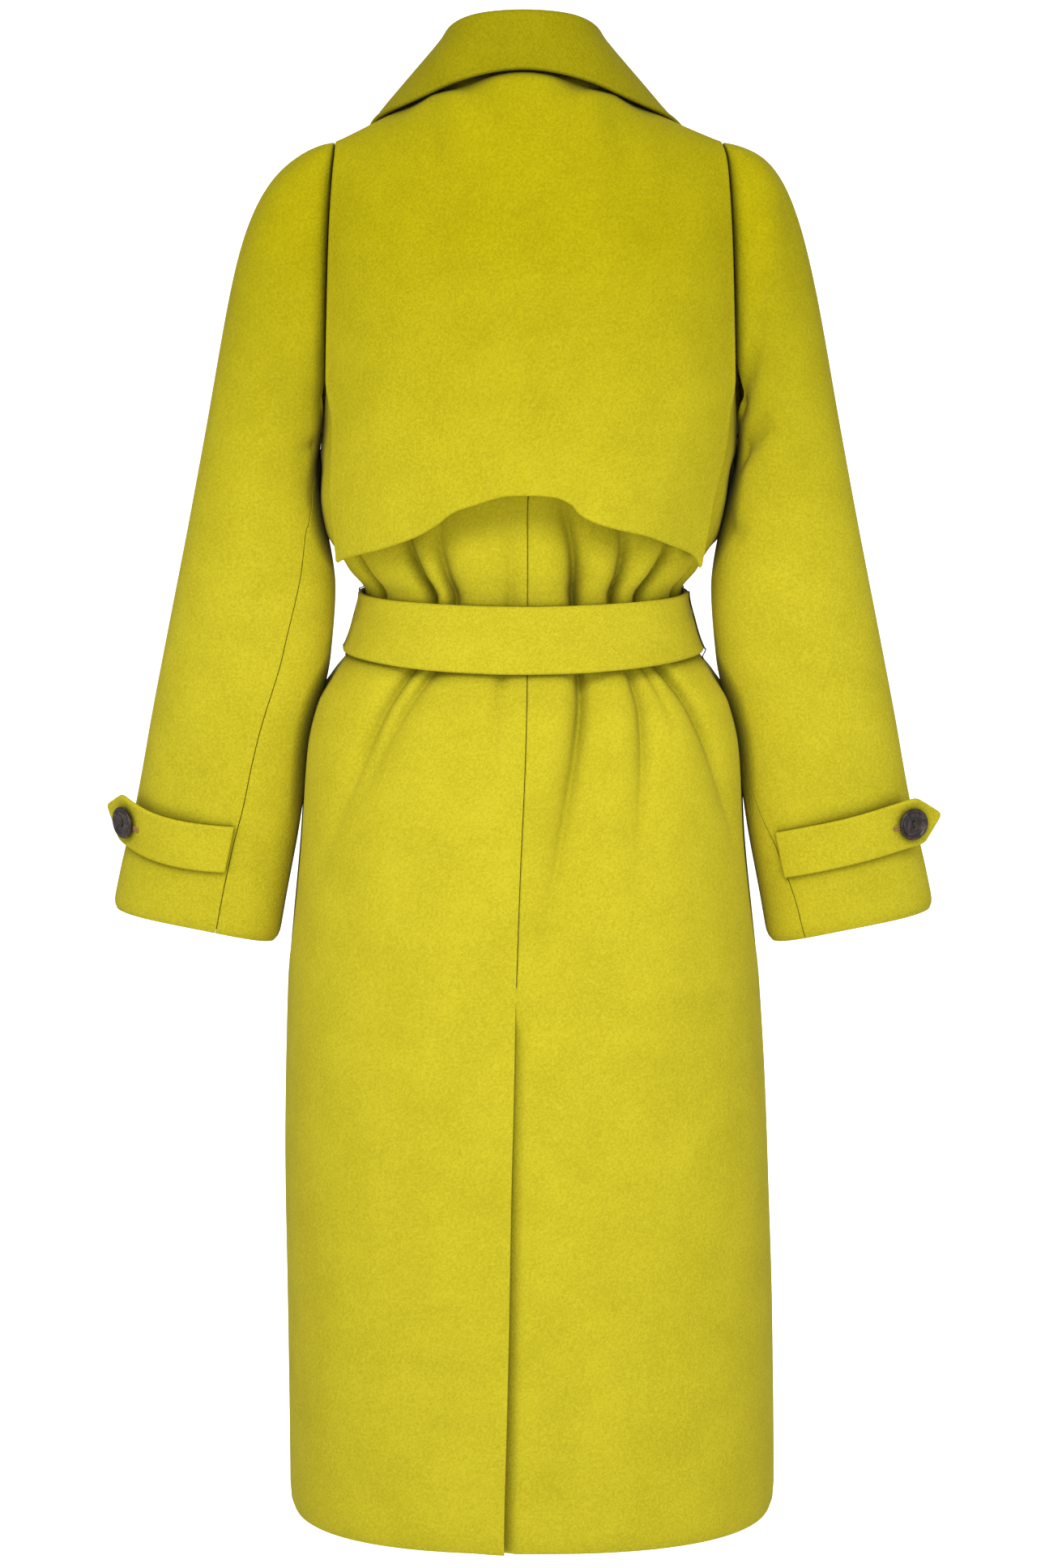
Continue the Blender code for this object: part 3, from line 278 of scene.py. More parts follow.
SLEEVE = table(
    "station outer_x outer_h inner_x inner_h half_depth centre_y",
    (0.00, 0.2485, 0.835, 0.1515, 0.768, 0.047, -0.002),
    (0.17, 0.2615, 0.768, 0.1460, 0.728, 0.049, -0.002),
    (0.36, 0.2754, 0.700, 0.1500, 0.674, 0.050, 0.000),
    (0.55, 0.2896, 0.630, 0.1655, 0.604, 0.050, 0.004),
    (0.75, 0.3030, 0.560, 0.1765, 0.534, 0.050, 0.009),
    (0.90, 0.3160, 0.507, 0.1865, 0.482, 0.050, 0.013),
    (1.00, 0.3230, 0.474, 0.1925, 0.448, 0.050, 0.015),
)
SLEEVE_SEAM = table(
    "run left right",
    (-1.00, 165.0, 178.0),
    (-0.20, 150.0, 178.0),
    (0.00, 136.0, 178.0),
    (0.15, 125.0, 177.0),
    (0.335, 118.0, 175.0),
    (0.52, 112.0, 171.0),
    (0.70, 108.5, 147.0),
    (0.80, 106.0, 134.0),
    (1.00, 106.0, 126.0),
)
SLEEVE_INNER_POWER = 0.70
CAP_OUT = 0.27
CAP_UP = 0.58
ARMHOLE_CLEARANCE = 0.0008
SLEEVE_HEAD = 0.004
FRONT_SLEEVE_SEAM = math.radians(240.0)
SLEEVE_SIDES = {
    "left": {"sign": -1, "seam": "left", "strap_leaves": 34.0, "strap_free": 0.039,
             "strap_tilt": -0.160, "strap_bend": 0.0274, "strap_gape": 0.0085},
    "right": {"sign": 1, "seam": "right", "strap_leaves": 58.0, "strap_free": 0.053,
              "strap_tilt": 0.035, "strap_bend": 0.0, "strap_gape": 0.0035},
}

STRAP_WIDTH = 0.038
STRAP_STATION = 0.797
STRAP_LIFT = 0.0007

BUTTON_RADIUS = 0.0125
BUTTON_HEIGHT = 0.0042
BUTTON_DISH = 0.0012
BUTTON_HOLE_RADIUS = 0.0011
BUTTON_HOLE_OFFSET = 0.0023
BUTTON_PIT = 0.0018
BUTTON_FROM_TIP = 0.027
BUTTON_SIDES = 72

BELT_KNOT_TURN = 1.889
BELT_GAP = 0.0018
BELT_BACK_DROP = 0.0035
BELT_BACK_WIDENING = 0.0045
BELT_TAIL_LENGTH = 0.36
BELT_TAIL_WIDTH = 0.050
BELT_TAIL_TOP_WIDTH = 0.030
BELT_TAIL_CLEARANCE = 0.0040
BELT_TAIL_DROP = 0.0038
BELT_TAILS = {"left": (-0.013, -0.052, 0.0008), "right": (0.014, 0.030, 0.0055)}
KNOT_SIZE = (0.046, 0.026, 0.054)
LOOP_STANDOFF = 0.0006
LOOP_IN = 0.0006
LOOP_TWIST = 0.00032
LOOP_STRAND = 0.00036
LOOP_TURNS = {"left": -1.10, "right": 0.935}


# Curves and sections


def ramp(value, low, high):
    """0 below low and 1 above high, with a smooth rise between."""
    t = np.clip((value - low) / (high - low), 0.0, 1.0)
    return t * t * (3.0 - 2.0 * t)


def along(rows, column, at, key="height"):
    """A table's column read on a smooth curve that doesn't overshoot its rows."""
    x, y = rows[key], rows[column]
    at = np.clip(at, x[0], x[-1])
    rise = np.diff(y) / np.diff(x)
    slope = np.zeros_like(y)
    same_way = rise[:-1] * rise[1:] > 0
    slope[1:-1][same_way] = (2 * rise[:-1] * rise[1:])[same_way] / (rise[:-1] + rise[1:])[same_way]
    i = np.clip(np.searchsorted(x, at) - 1, 0, len(x) - 2)
    width = x[i + 1] - x[i]
    t = (at - x[i]) / width
    from_low = (1 + 2 * t) * (1 - t) ** 2 * y[i] + t * (1 - t) ** 2 * width * slope[i]
    from_high = t * t * (3 - 2 * t) * y[i + 1] - t * t * (1 - t) * width * slope[i + 1]
    return from_low + from_high


def quarter(share):
    """Unit width and depth at a share of the way round a quarter section, evenly by length."""
    angle = np.linspace(0.0, math.pi / 2, 1441)
    wide, deep = np.sin(angle) ** (2 / SQUARENESS), np.cos(angle) ** (2 / SQUARENESS)
    length = np.concatenate([[0.0], np.cumsum(np.hypot(np.diff(wide), DEPTH_RATIO * np.diff(deep)))])
    at = np.interp(share, length / length[-1], angle)
    return np.sin(at) ** (2 / SQUARENESS), np.cos(at) ** (2 / SQUARENESS)


def quarter_length(height):
    """Length of a quarter of the section, near enough for spacing."""
    return 0.80 * (along(TORSO, "half_width", height) + along(TORSO, "back_depth", height))


def pleat_depth(turn, height):
    """How far the belt's pleats draw the cloth in."""
    total = np.zeros(np.broadcast(turn, height).shape)
    length = quarter_length(height)
    for rows, away, gain in ((PLEATS_ABOVE, height - BELT_MIDDLE, PLEAT_GAIN["above"]),
                             (PLEATS_BELOW, BELT_MIDDLE - height, PLEAT_GAIN["below"])):
        from_edge = away - (BELT_HIGH - BELT_LOW) / 2
        shown = ramp(away, 0.0, 0.012)
        rise = PLEAT_AT_BELT + (1 - PLEAT_AT_BELT) * ramp(from_edge, 0.0, PLEAT_FULL_BY)
        open_by = np.maximum(from_edge, 0.0)
        for row in each_row(rows):
            centre = row["turn"] + row["lean"] * open_by
            off = ((turn - centre + 2) % 4 - 2) * length
            flank = np.where(off < 0, row["left"], row["right"]) + PLEAT_SPREAD * open_by
            fade = 1 - ramp(from_edge, PLEAT_FADE_FROM * row["reach"], row["reach"])
            total += shown * gain * row["depth"] * rise * fade * np.exp(-((np.abs(off) / flank) ** PLEAT_POINT))
    from_back = np.abs((turn + 2) % 4 - 2)
    for row in each_row(SIDE_HOLLOWS):
        off = (from_back - row["turn"]) * length
        tall = ramp(height, row["low0"], row["low1"]) * (1 - ramp(height, row["high0"], row["high1"]))
        total += row["depth"] * tall * np.exp(-((np.abs(off) / row["wide"]) ** HOLLOW_POWER))
    behind = 1 - ramp(from_back, *FLAP_RECESS_TURNS)
    tall = ramp(height, *FLAP_RECESS_FROM) * (1 - ramp(height, *FLAP_RECESS_TO))
    return total + FLAP_RECESS * behind * tall


def section(turn, height, pleated=True):
    """A point of the coat's outer face below the underarm."""
    turn, height = np.broadcast_arrays(np.asarray(turn, float), np.asarray(height, float))
    signed = (turn + 2) % 4 - 2
    behind = np.abs(signed) <= 1
    wide, deep = quarter(np.where(behind, np.abs(signed), 2 - np.abs(signed)))
    half_width = along(TORSO, "half_width", height)
    depth = np.where(behind, -along(TORSO, "back_depth", height), along(TORSO, "front_depth", height))
    x, y = np.sign(signed) * half_width * wide + along(TORSO, "centre_x", height), depth * deep
    if pleated:
        out_x = np.sign(signed) * wide ** (SQUARENESS - 1) / half_width
        out_y = deep ** (SQUARENESS - 1) / depth
        size = np.hypot(out_x, out_y)
        drawn = pleat_depth(turn, height)
        x, y = x - drawn * out_x / size, y - drawn * out_y / size
    return np.stack([x, y, height - MOUNT_HEIGHT], axis=-1)


def depth_at_underarm(x, front):
    column = "front_depth" if front else "back_depth"
    size = along(TORSO, column, UNDERARM_HEIGHT) * (1 if front else -1)
    across = np.minimum(np.abs(x) / along(TORSO, "half_width", UNDERARM_HEIGHT), 1.0)
    return size * (1 - across**SQUARENESS) ** (1 / SQUARENESS)


def ridge(x):
    """Height of the shoulder line."""
    return along(SHOULDER, "ridge", np.abs(x), key="x")


def yoke(x, climb, front):
    """A point of the outer face above the underarm. Climb is 0 there and 1 at the shoulder or neck."""
    x, climb = np.broadcast_arrays(np.asarray(x, float), np.asarray(climb, float))
    inside = np.clip(np.abs(x) / NECK_SIDE_X, 0.0, 1.0)
    neck = NECK_BACK_ANGLE + (math.pi / 2 - NECK_BACK_ANGLE) * inside**NECK_POWER
    angle = climb * (math.pi / 2 if front else neck)
    arch = np.sign(np.cos(angle)) * np.abs(np.cos(angle)) ** ARCH_POWER
    y = RIDGE_Y + (depth_at_underarm(x, front) - RIDGE_Y) * arch
    height = UNDERARM_HEIGHT + (ridge(x) - UNDERARM_HEIGHT) * np.sin(angle)
    return np.stack([x, y, height - MOUNT_HEIGHT], axis=-1)


def surface_y(x, height, front):
    """Depth of the plain outer face at a place given by its x and height."""
    x, height = np.broadcast_arrays(np.asarray(x, float), np.asarray(height, float))
    low = np.minimum(height, UNDERARM_HEIGHT)
    across = np.minimum(np.abs(x - along(TORSO, "centre_x", low)) / along(TORSO, "half_width", low), 1.0)
    column = "front_depth" if front else "back_depth"
    size = along(TORSO, column, low) * (1 if front else -1)
    flat = size * (1 - across**SQUARENESS) ** (1 / SQUARENESS)
    rise = np.clip((height - UNDERARM_HEIGHT) / (ridge(x) - UNDERARM_HEIGHT), 0.0, 1.0)
    return RIDGE_Y + (flat - RIDGE_Y) * (1 - rise**2) ** (ARCH_POWER / 2)


def lifted(face, u, v, lift, flip=False):
    """Points of a face moved out by a lift, with its normals there."""
    along_u = face(u + STEP, v) - face(u - STEP, v)
    along_v = face(u, v + STEP) - face(u, v - STEP)
    out = np.cross(along_u, along_v) * (-1 if flip else 1)
    out = out / np.linalg.norm(out, axis=-1, keepdims=True)
    return face(u, v) + np.asarray(lift)[..., None] * out, out


def back_yoke(x, climb):
    return yoke(x, climb, False)


def front_yoke(x, climb):
    return yoke(x, climb, True)


def front_face(x, height):
    return np.stack([x, surface_y(x, height, True), height - MOUNT_HEIGHT], axis=-1)


# Materials


def nodes_of(name):
    made = bpy.data.materials.new(name)
    made.use_nodes = True
    tree = made.node_tree
    shader = tree.nodes["Principled BSDF"]

    def add(kind, **settings):
        node = tree.nodes.new(kind)
        for key, value in settings.items():
            if key in node.inputs.keys():
                node.inputs[key].default_value = value
            else:
                setattr(node, key, value)
        return node

    return made, tree, shader, add


def rgba(sockets):
    return [socket for socket in sockets if socket.type == "RGBA"]


# Darkest and palest fibre of the upper coat and of the skirt, and the heights between which one becomes the other.
# The upper coat is darkened as painted shade and the skirt paled and blued as painted light.
UPPER_SHADED_COLOURS = ((0.378, 0.322, 0.0016), (0.490, 0.424, 0.0040))
SKIRT_LIT_COLOURS = ((0.500, 0.430, 0.0155), (0.646, 0.562, 0.0255))
PAINTED_LIGHT_HEIGHTS = (1.00, 0.72)
# How far the shade painted into creases and recesses reaches, how fast it falls off, and the share of colour left in
# the deepest crease.
PAINTED_SHADE_REACH = 0.013
PAINTED_SHADE_POWER = 1.5
CREASE_PAINTED_SHADE = 0.22
# Share of the wool's colour kept on the collar: painted shade, as its fall faces up.
COLLAR_PAINTED_SHADE = 0.76
SHEEN_TINT = (1.0, 0.95, 0.62, 1.0)
TWILL_ANGLE = math.radians(38.0)
NAP_STRETCH = (1.0, 1.0, 0.45)


def wool_material(name, shade=1.0):
    """Brushed wool: a short felted nap over a fine diagonal twill, with painted shade in its creases and painted
    light by height. A shade below 1 darkens the whole colour as painted shade, as on the up-facing collar.
    """
    made, tree, shader, add = nodes_of(name)
    link = tree.links.new
    place = add("ShaderNodeTexCoord")
    cloth_map = add("ShaderNodeUVMap", uv_map="Cloth")

    fibres = add("ShaderNodeTexNoise", Scale=560.0, Detail=3.0, Roughness=0.65)
    link(place.outputs["Object"], fibres.inputs["Vector"])
    clouds = add("ShaderNodeTexNoise", Scale=26.0, Detail=3.0, Roughness=0.55)
    link(place.outputs["Object"], clouds.inputs["Vector"])
    mix = add("ShaderNodeMath", operation="MULTIPLY_ADD")
    mix.inputs[1].default_value = 0.75
    link(fibres.outputs["Fac"], mix.inputs[0])
    half = add("ShaderNodeMath", operation="MULTIPLY")
    half.inputs[1].default_value = 0.25
    link(clouds.outputs["Fac"], half.inputs[0])
    link(half.outputs[0], mix.inputs[2])
    spread = add("ShaderNodeMapRange", **{"From Min": 0.38, "From Max": 0.62})
    link(mix.outputs[0], spread.inputs["Value"])
    parts = add("ShaderNodeSeparateXYZ")
    link(place.outputs["Object"], parts.inputs["Vector"])
    # Painted light by height: the cloth darkens towards the shoulders and pales towards the skirt.
    shaded_end, lit_end = (height - MOUNT_HEIGHT for height in PAINTED_LIGHT_HEIGHTS)
    painted_light_by_height = add("ShaderNodeMapRange", **{"From Min": shaded_end, "From Max": lit_end})
    link(parts.outputs["Z"], painted_light_by_height.inputs["Value"])
    colour = add("ShaderNodeMix", data_type="RGBA")
    for pair, socket in zip((UPPER_SHADED_COLOURS, SKIRT_LIT_COLOURS), rgba(colour.inputs)):
        tone = add("ShaderNodeMix", data_type="RGBA")
        for end, value in zip(rgba(tone.inputs), pair):
            end.default_value = (*(shade * channel for channel in value), 1.0)
        link(spread.outputs["Result"], tone.inputs[0])
        link(rgba(tone.outputs)[0], socket)
    link(painted_light_by_height.outputs["Result"], colour.inputs[0])
    # Painted shade: ambient occlusion darkens the colour in creases, under the flap and between parts.
    crease_occlusion = add("ShaderNodeAmbientOcclusion", samples=4, Distance=PAINTED_SHADE_REACH)
    deeper = add("ShaderNodeMath", operation="POWER")
    deeper.inputs[1].default_value = PAINTED_SHADE_POWER
    link(crease_occlusion.outputs["AO"], deeper.inputs[0])
    crease_painted_shade = add("ShaderNodeMapRange", **{"To Min": CREASE_PAINTED_SHADE})
    link(deeper.outputs[0], crease_painted_shade.inputs["Value"])
    painted_shade_colour = add("ShaderNodeVectorMath", operation="SCALE")
    link(rgba(colour.outputs)[0], painted_shade_colour.inputs[0])
    link(crease_painted_shade.outputs["Result"], painted_shade_colour.inputs["Scale"])
    link(painted_shade_colour.outputs[0], shader.inputs["Base Color"])

    turned = add("ShaderNodeMapping", Rotation=(0.0, 0.0, TWILL_ANGLE))
    link(cloth_map.outputs["UV"], turned.inputs["Vector"])
    twill = add("ShaderNodeTexWave", wave_type="BANDS", bands_direction="X", Scale=190.0, Distortion=2.2,
                Detail=2.0)
    twill.inputs["Detail Scale"].default_value = 2.0
    link(turned.outputs["Vector"], twill.inputs["Vector"])
    nap = add("ShaderNodeTexNoise", Scale=420.0, Detail=5.0, Roughness=0.6)
    stretch = add("ShaderNodeMapping", Scale=NAP_STRETCH)
    link(place.outputs["Object"], stretch.inputs["Vector"])
    link(stretch.outputs["Vector"], nap.inputs["Vector"])
    both = add("ShaderNodeMath", operation="MULTIPLY_ADD")
    both.inputs[1].default_value = 0.30
    link(twill.outputs["Fac"], both.inputs[0])
    link(nap.outputs["Fac"], both.inputs[2])
    bump = add("ShaderNodeBump", Strength=0.55, Distance=0.0007)
    link(both.outputs[0], bump.inputs["Height"])
    link(bump.outputs["Normal"], shader.inputs["Normal"])

    rough = add("ShaderNodeMapRange", **{"To Min": 0.84, "To Max": 0.97})
    link(fibres.outputs["Fac"], rough.inputs["Value"])
    link(rough.outputs["Result"], shader.inputs["Roughness"])
    shader.inputs["Specular IOR Level"].default_value = 0.06
    shader.inputs["Sheen Weight"].default_value = 0.05
    shader.inputs["Sheen Roughness"].default_value = 0.45
    shader.inputs["Sheen Tint"].default_value = SHEEN_TINT
    return made


def horn_material():
    """Polished dark horn with brown clouds and fine streaks."""
    made, tree, shader, add = nodes_of("horn_mottled")
    link = tree.links.new
    place = add("ShaderNodeTexCoord")
    clouds = add("ShaderNodeTexNoise", Scale=130.0, Detail=3.0, Roughness=0.6, Distortion=1.2)
    link(place.outputs["Object"], clouds.inputs["Vector"])
    ramp_node = add("ShaderNodeValToRGB")
    stops = ramp_node.color_ramp.elements
    stops[0].position, stops[0].color = 0.36, (0.010, 0.008, 0.008, 1.0)
    stops[1].position, stops[1].color = 0.72, (0.150, 0.078, 0.050, 1.0)
    middle = stops.new(0.54)
    middle.color = (0.034, 0.024, 0.022, 1.0)
    link(clouds.outputs["Fac"], ramp_node.inputs["Fac"])
    link(ramp_node.outputs["Color"], shader.inputs["Base Color"])
    streaks = add("ShaderNodeTexNoise", Scale=900.0, Detail=2.0)
    link(place.outputs["Object"], streaks.inputs["Vector"])
    gloss = add("ShaderNodeMapRange", **{"To Min": 0.22, "To Max": 0.40})
    link(streaks.outputs["Fac"], gloss.inputs["Value"])
    link(gloss.outputs["Result"], shader.inputs["Roughness"])
    bump = add("ShaderNodeBump", Strength=0.12, Distance=0.0003)
    link(streaks.outputs["Fac"], bump.inputs["Height"])
    link(bump.outputs["Normal"], shader.inputs["Normal"])
    return made


def thread_material(name, dark, light):
    """Twisted thread, with its ply as fine bands of colour and bump."""
    made, tree, shader, add = nodes_of(name)
    link = tree.links.new
    place = add("ShaderNodeTexCoord")
    ply = add("ShaderNodeTexWave", wave_type="BANDS", bands_direction="DIAGONAL", Scale=700.0, Distortion=1.0)
    link(place.outputs["Object"], ply.inputs["Vector"])
    ramp_node = add("ShaderNodeValToRGB")
    stops = ramp_node.color_ramp.elements
    stops[0].color, stops[1].color = (*dark, 1.0), (*light, 1.0)
    link(ply.outputs["Fac"], ramp_node.inputs["Fac"])
    link(ramp_node.outputs["Color"], shader.inputs["Base Color"])
    bump = add("ShaderNodeBump", Strength=0.5, Distance=0.0003)
    link(ply.outputs["Fac"], bump.inputs["Height"])
    link(bump.outputs["Normal"], shader.inputs["Normal"])
    shader.inputs["Roughness"].default_value = 0.75
    return made


WOOL = wool_material("wool_nap")
# A darker copy of the wool for the collar, as painted shade.
COLLAR_SHADED_WOOL = wool_material("wool_collar_painted_shade", COLLAR_PAINTED_SHADE)
HORN = horn_material()
DARK_THREAD = thread_material("dark_thread", (0.018, 0.014, 0.004), (0.075, 0.060, 0.016))
TAN_THREAD = thread_material("tan_thread", (0.330, 0.150, 0.035), (0.640, 0.360, 0.120))


# Meshes


def place_piece(name, mesh, look, node=None):
    made = bpy.data.objects.new(name, mesh)
    bpy.context.scene.collection.objects.link(made)
    mesh.materials.append(look)
    mesh.shade_smooth()
    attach(made, "root")
    if node:
        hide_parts(node)
    return made


def shares(count, length, edge):
    """Even steps from 0 to 1, with closer ones at both ends where the cloth's edge is round."""
    close = np.array((0.0, 0.06, 0.22, 0.50, 0.85, 1.25, 2.2)) * edge / length
    inside = np.linspace(0.0, 1.0, count)
    inside = inside[(inside > 1.5 * close[-1]) & (inside < 1 - 1.5 * close[-1])]
    return np.concatenate([close, inside, 1 - close[::-1]])


def hung(points):
    """Points moved to where the coat hangs: its shoulders sit a little to the wearer's right."""
    height = points[..., 2] + MOUNT_HEIGHT
    share = ramp(height, *HANG_FROM) * (1 - ramp(height, *HANG_TO))
    share = share * (1 - ramp(np.abs(points[..., 0]), *HANG_SIDE))
    return points + share[..., None] * np.array((HANG_SHIFT, 0, 0))


def cloth(name, outer, thickness, node, lips=(0, 0, 0, 0), rounds=(1, 1, 1, 1), flip=False, look=None):
    """A cloth wall under a grid of outer points, with round edges.

    lips swell the first row, last row, first column and last column, as a turned edge does. rounds are
    the shares of a full round that those edges get, which is little where they are sewn into a seam.
    """
    outer = hung(outer)
    rows, columns = outer.shape[:2]
    out = np.cross(np.gradient(outer, axis=1), np.gradient(outer, axis=0)) * (-1 if flip else 1)
    out /= np.linalg.norm(out, axis=-1, keepdims=True)

    def run(axis):
        steps = np.linalg.norm(np.diff(outer, axis=axis), axis=-1)
        zeros = np.zeros((1, columns) if axis == 0 else (rows, 1))
        return np.concatenate([zeros, np.cumsum(steps, axis=axis)], axis=axis)

    down, across = run(0), run(1)
    edges = (down, down[-1:] - down, across, across[:, -1:] - across)
    half = np.full((rows, columns), thickness / 2)
    for distance, lip, rounded in zip(edges, lips, rounds):
        share = np.clip(distance / (thickness / 2 * (1 + lip) * rounded), 0.0, 1.0)
        swell = 1 + lip * np.exp(-(((distance - LIP_IN) / LIP_WIDE) ** 2))
        half *= np.sqrt(1 - (1 - share) ** 2) * swell
    middle = outer - thickness / 2 * out
    index = np.arange(rows * columns).reshape(rows, columns)
    under = index.copy()
    under[1:-1, 1:-1] = rows * columns + np.arange((rows - 2) * (columns - 2)).reshape(rows - 2, columns - 2)
    points = np.concatenate([
        (middle + half[..., None] * out).reshape(-1, 3),
        (middle - half[..., None] * out)[1:-1, 1:-1].reshape(-1, 3),
    ])
    flat = np.stack([across, down], axis=-1)
    flat = np.concatenate([flat.reshape(-1, 2), flat[1:-1, 1:-1].reshape(-1, 2)])

    def quads(ids):
        return np.stack([ids[:-1, :-1], ids[:-1, 1:], ids[1:, 1:], ids[1:, :-1]], axis=-1).reshape(-1, 4)

    top, bottom = quads(index), quads(under)[:, ::-1]
    if flip:
        top, bottom = top[:, ::-1], bottom[:, ::-1]
    mesh = bpy.data.meshes.new(name)
    mesh.from_pydata(points.tolist(), [], np.concatenate([top, bottom]).tolist())
    corners = np.zeros(len(mesh.loops), int)
    mesh.loops.foreach_get("vertex_index", corners)
    layer = mesh.uv_layers.new(name="Cloth")
    layer.data.foreach_set("uv", flat[corners].astype(np.float32).ravel())
    return place_piece(name, mesh, look or WOOL, node)


def tube(made, path, radius, sides=8):
    """Adds a round closed tube along a path to a bmesh."""
    path = [Vector(p) for p in path]
    rings = []
    guide = Vector((0.31, 0.52, 0.79))
    for i, here in enumerate(path):
        ahead = (path[min(i + 1, len(path) - 1)] - path[max(i - 1, 0)]).normalized()
        side = ahead.cross(guide).normalized()
        up = ahead.cross(side)
        size = radius * (0.55 if i in (0, len(path) - 1) else 1.0)
        rings.append([made.verts.new(here + size * (math.cos(a) * side + math.sin(a) * up))
                      for a in (2 * math.pi * j / sides for j in range(sides))])
    for low, high in zip(rings, rings[1:]):
        for j in range(sides):
            k = (j + 1) % sides
            made.faces.new((low[j], low[k], high[k], high[j]))
    made.faces.new(rings[0][::-1])
    made.faces.new(rings[-1])


def mesh_from(made, name):
    bmesh.ops.recalc_face_normals(made, faces=made.faces)
    mesh = bpy.data.meshes.new(name)
    made.to_mesh(mesh)
    made.free()
    return mesh


def creases(x, height, rows):
    """Depth drawn in by creases, each given by its two ends as seen from the back or front."""
    total = np.zeros(np.broadcast(x, height).shape)
    for row in each_row(rows):
        run_x, run_h = row["x1"] - row["x0"], row["h1"] - row["h0"]
        t = np.clip(((x - row["x0"]) * run_x + (height - row["h0"]) * run_h) / (run_x**2 + run_h**2), 0.0, 1.0)
        away = np.hypot(x - row["x0"] - t * run_x, height - row["h0"] - t * run_h)
        size = row["depth"] * (1 - t) ** 0.7
        total += size * np.exp(-((away / row["width"]) ** 2))
    return total


# Fronts and back

HEIGHTS = np.concatenate([
    shares(2, 0.45, CLOTH / 2)[:7] * 0.45,
    np.arange(0.008, 0.45, 0.011), np.arange(0.45, 0.62, 0.0055), np.arange(0.62, 0.8361, 0.0024),
])
CLIMBS = np.concatenate([np.linspace(0.02, 0.985, 44), 1 - shares(2, 0.36, CLOTH / 2)[:6][::-1]])
PANEL_COLUMNS = 136
FRONT_COLUMNS = 72
HEM_REACH = 0.014
HEM_DEPTH = 0.0045


def seam_turn(heights):
    return along(BACK_SEAM, "x", heights) / quarter_length(heights)


def turned_hem(points, out, distance, reach, depth):
    """Points drawn in over the last stretch before a hem."""
    return points - (depth * (1 - np.clip(distance / reach, 0.0, 1.0)) ** 2)[..., None] * out


def joined(lower, upper):
    return np.concatenate([lower[0], upper[0]])


def back_panel(node, sign):
    """Half of the back, from the centre seam to the side seam, armhole, shoulder and neck."""
    length = quarter_length(HEIGHTS)[:, None]
    even = shares(PANEL_COLUMNS, 0.27, CLOTH / 2)
    seam = seam_turn(HEIGHTS)[:, None]
    turns = sign * even[None, :] if sign > 0 else -even[None, ::-1]
    turns = turns + seam * (1 - np.minimum(np.abs(turns) / 0.5, 1.0))
    climbs = CLIMBS[:, None]
    wide = quarter(even)[0]
    if sign > 0:
        tuck = np.linspace(1.0, 0.0, 14)[None, :]
        lap = VENT_UNDERLAP * (1 - ramp(HEIGHTS, VENT_TOP, VENT_TOP + 0.035))[:, None]
        under = seam + (VENT_TUCK * (1 - tuck) - lap * tuck) / length
        main = np.maximum(turns, seam + VENT_TUCK * 1.05 / length * (1 + 0.02 * np.arange(turns.shape[1])))
        turns = np.concatenate([under, main[:, 1:]], axis=1)
        least = 0.0085 * (1 + 0.05 * np.arange(len(wide) - 1))
        wide = np.concatenate([0.008 * (1 - tuck[0]), np.maximum(wide[1:], least)])
    else:
        wide = -wide[::-1]
    heights = np.broadcast_to(HEIGHTS[:, None], turns.shape)
    to_seam = sign * (turns - seam) * length
    if sign > 0:
        in_vent = 1 - ramp(heights, VENT_TOP - 0.01, VENT_TOP + 0.03)
        lift = -(CLOTH + 2 * LAYER_GAP) * (1 - ramp(to_seam, 0.0, 0.010)) * in_vent
    else:
        lift = VENT_LIFT * (1 - ramp(to_seam, 0.0, VENT_EDGE)) * (1 - ramp(heights, 0.0, VENT_TOP))
    lower = lifted(section, turns, heights, lift)
    lower = turned_hem(*lower, heights, HEM_REACH, HEM_DEPTH), lower[1]
    x = along(ARMHOLE, "x", climbs, key="climb") * wide[None, :]
    upper = lifted(back_yoke, x, np.broadcast_to(climbs, x.shape), np.zeros(x.shape))
    outer = joined(lower, upper) + np.array((sign, -1, 0)) * SEAM_GAP / 2
    return cloth("coat_" + node, outer, CLOTH, node, lips=(0.25, 0, 0, 0), rounds=(1, SEWN, SEWN, SEWN))


def share_at(wide):
    """Share of the way round a quarter section where it is this wide."""
    at = np.linspace(0.0, 1.0, 1201)
    return np.interp(wide, quarter(at)[0], at)


def roll_x(height):
    """The line where the right front turns back into its lapel, or its plain edge below the break."""
    foot = -quarter(FRONT_OVERLAP)[0] * along(TORSO, "half_width", BREAK_HEIGHT)
    share = np.clip((height - BREAK_HEIGHT) / (ridge(NECK_SIDE_X) - BREAK_HEIGHT), 0.0, 1.0)
    return foot + (NECK_SIDE_X - foot) * share


def roll_at_climb(climbs):
    """x of the roll line on each row above the underarm."""
    low, high = np.full(len(climbs), -0.1), np.full(len(climbs), NECK_SIDE_X)
    for _ in range(40):
        middle = (low + high) / 2
        right_of_it = roll_x(yoke(middle, climbs, True)[:, 2] + MOUNT_HEIGHT) > middle
        low, high = np.where(right_of_it, middle, low), np.where(right_of_it, high, middle)
    return low


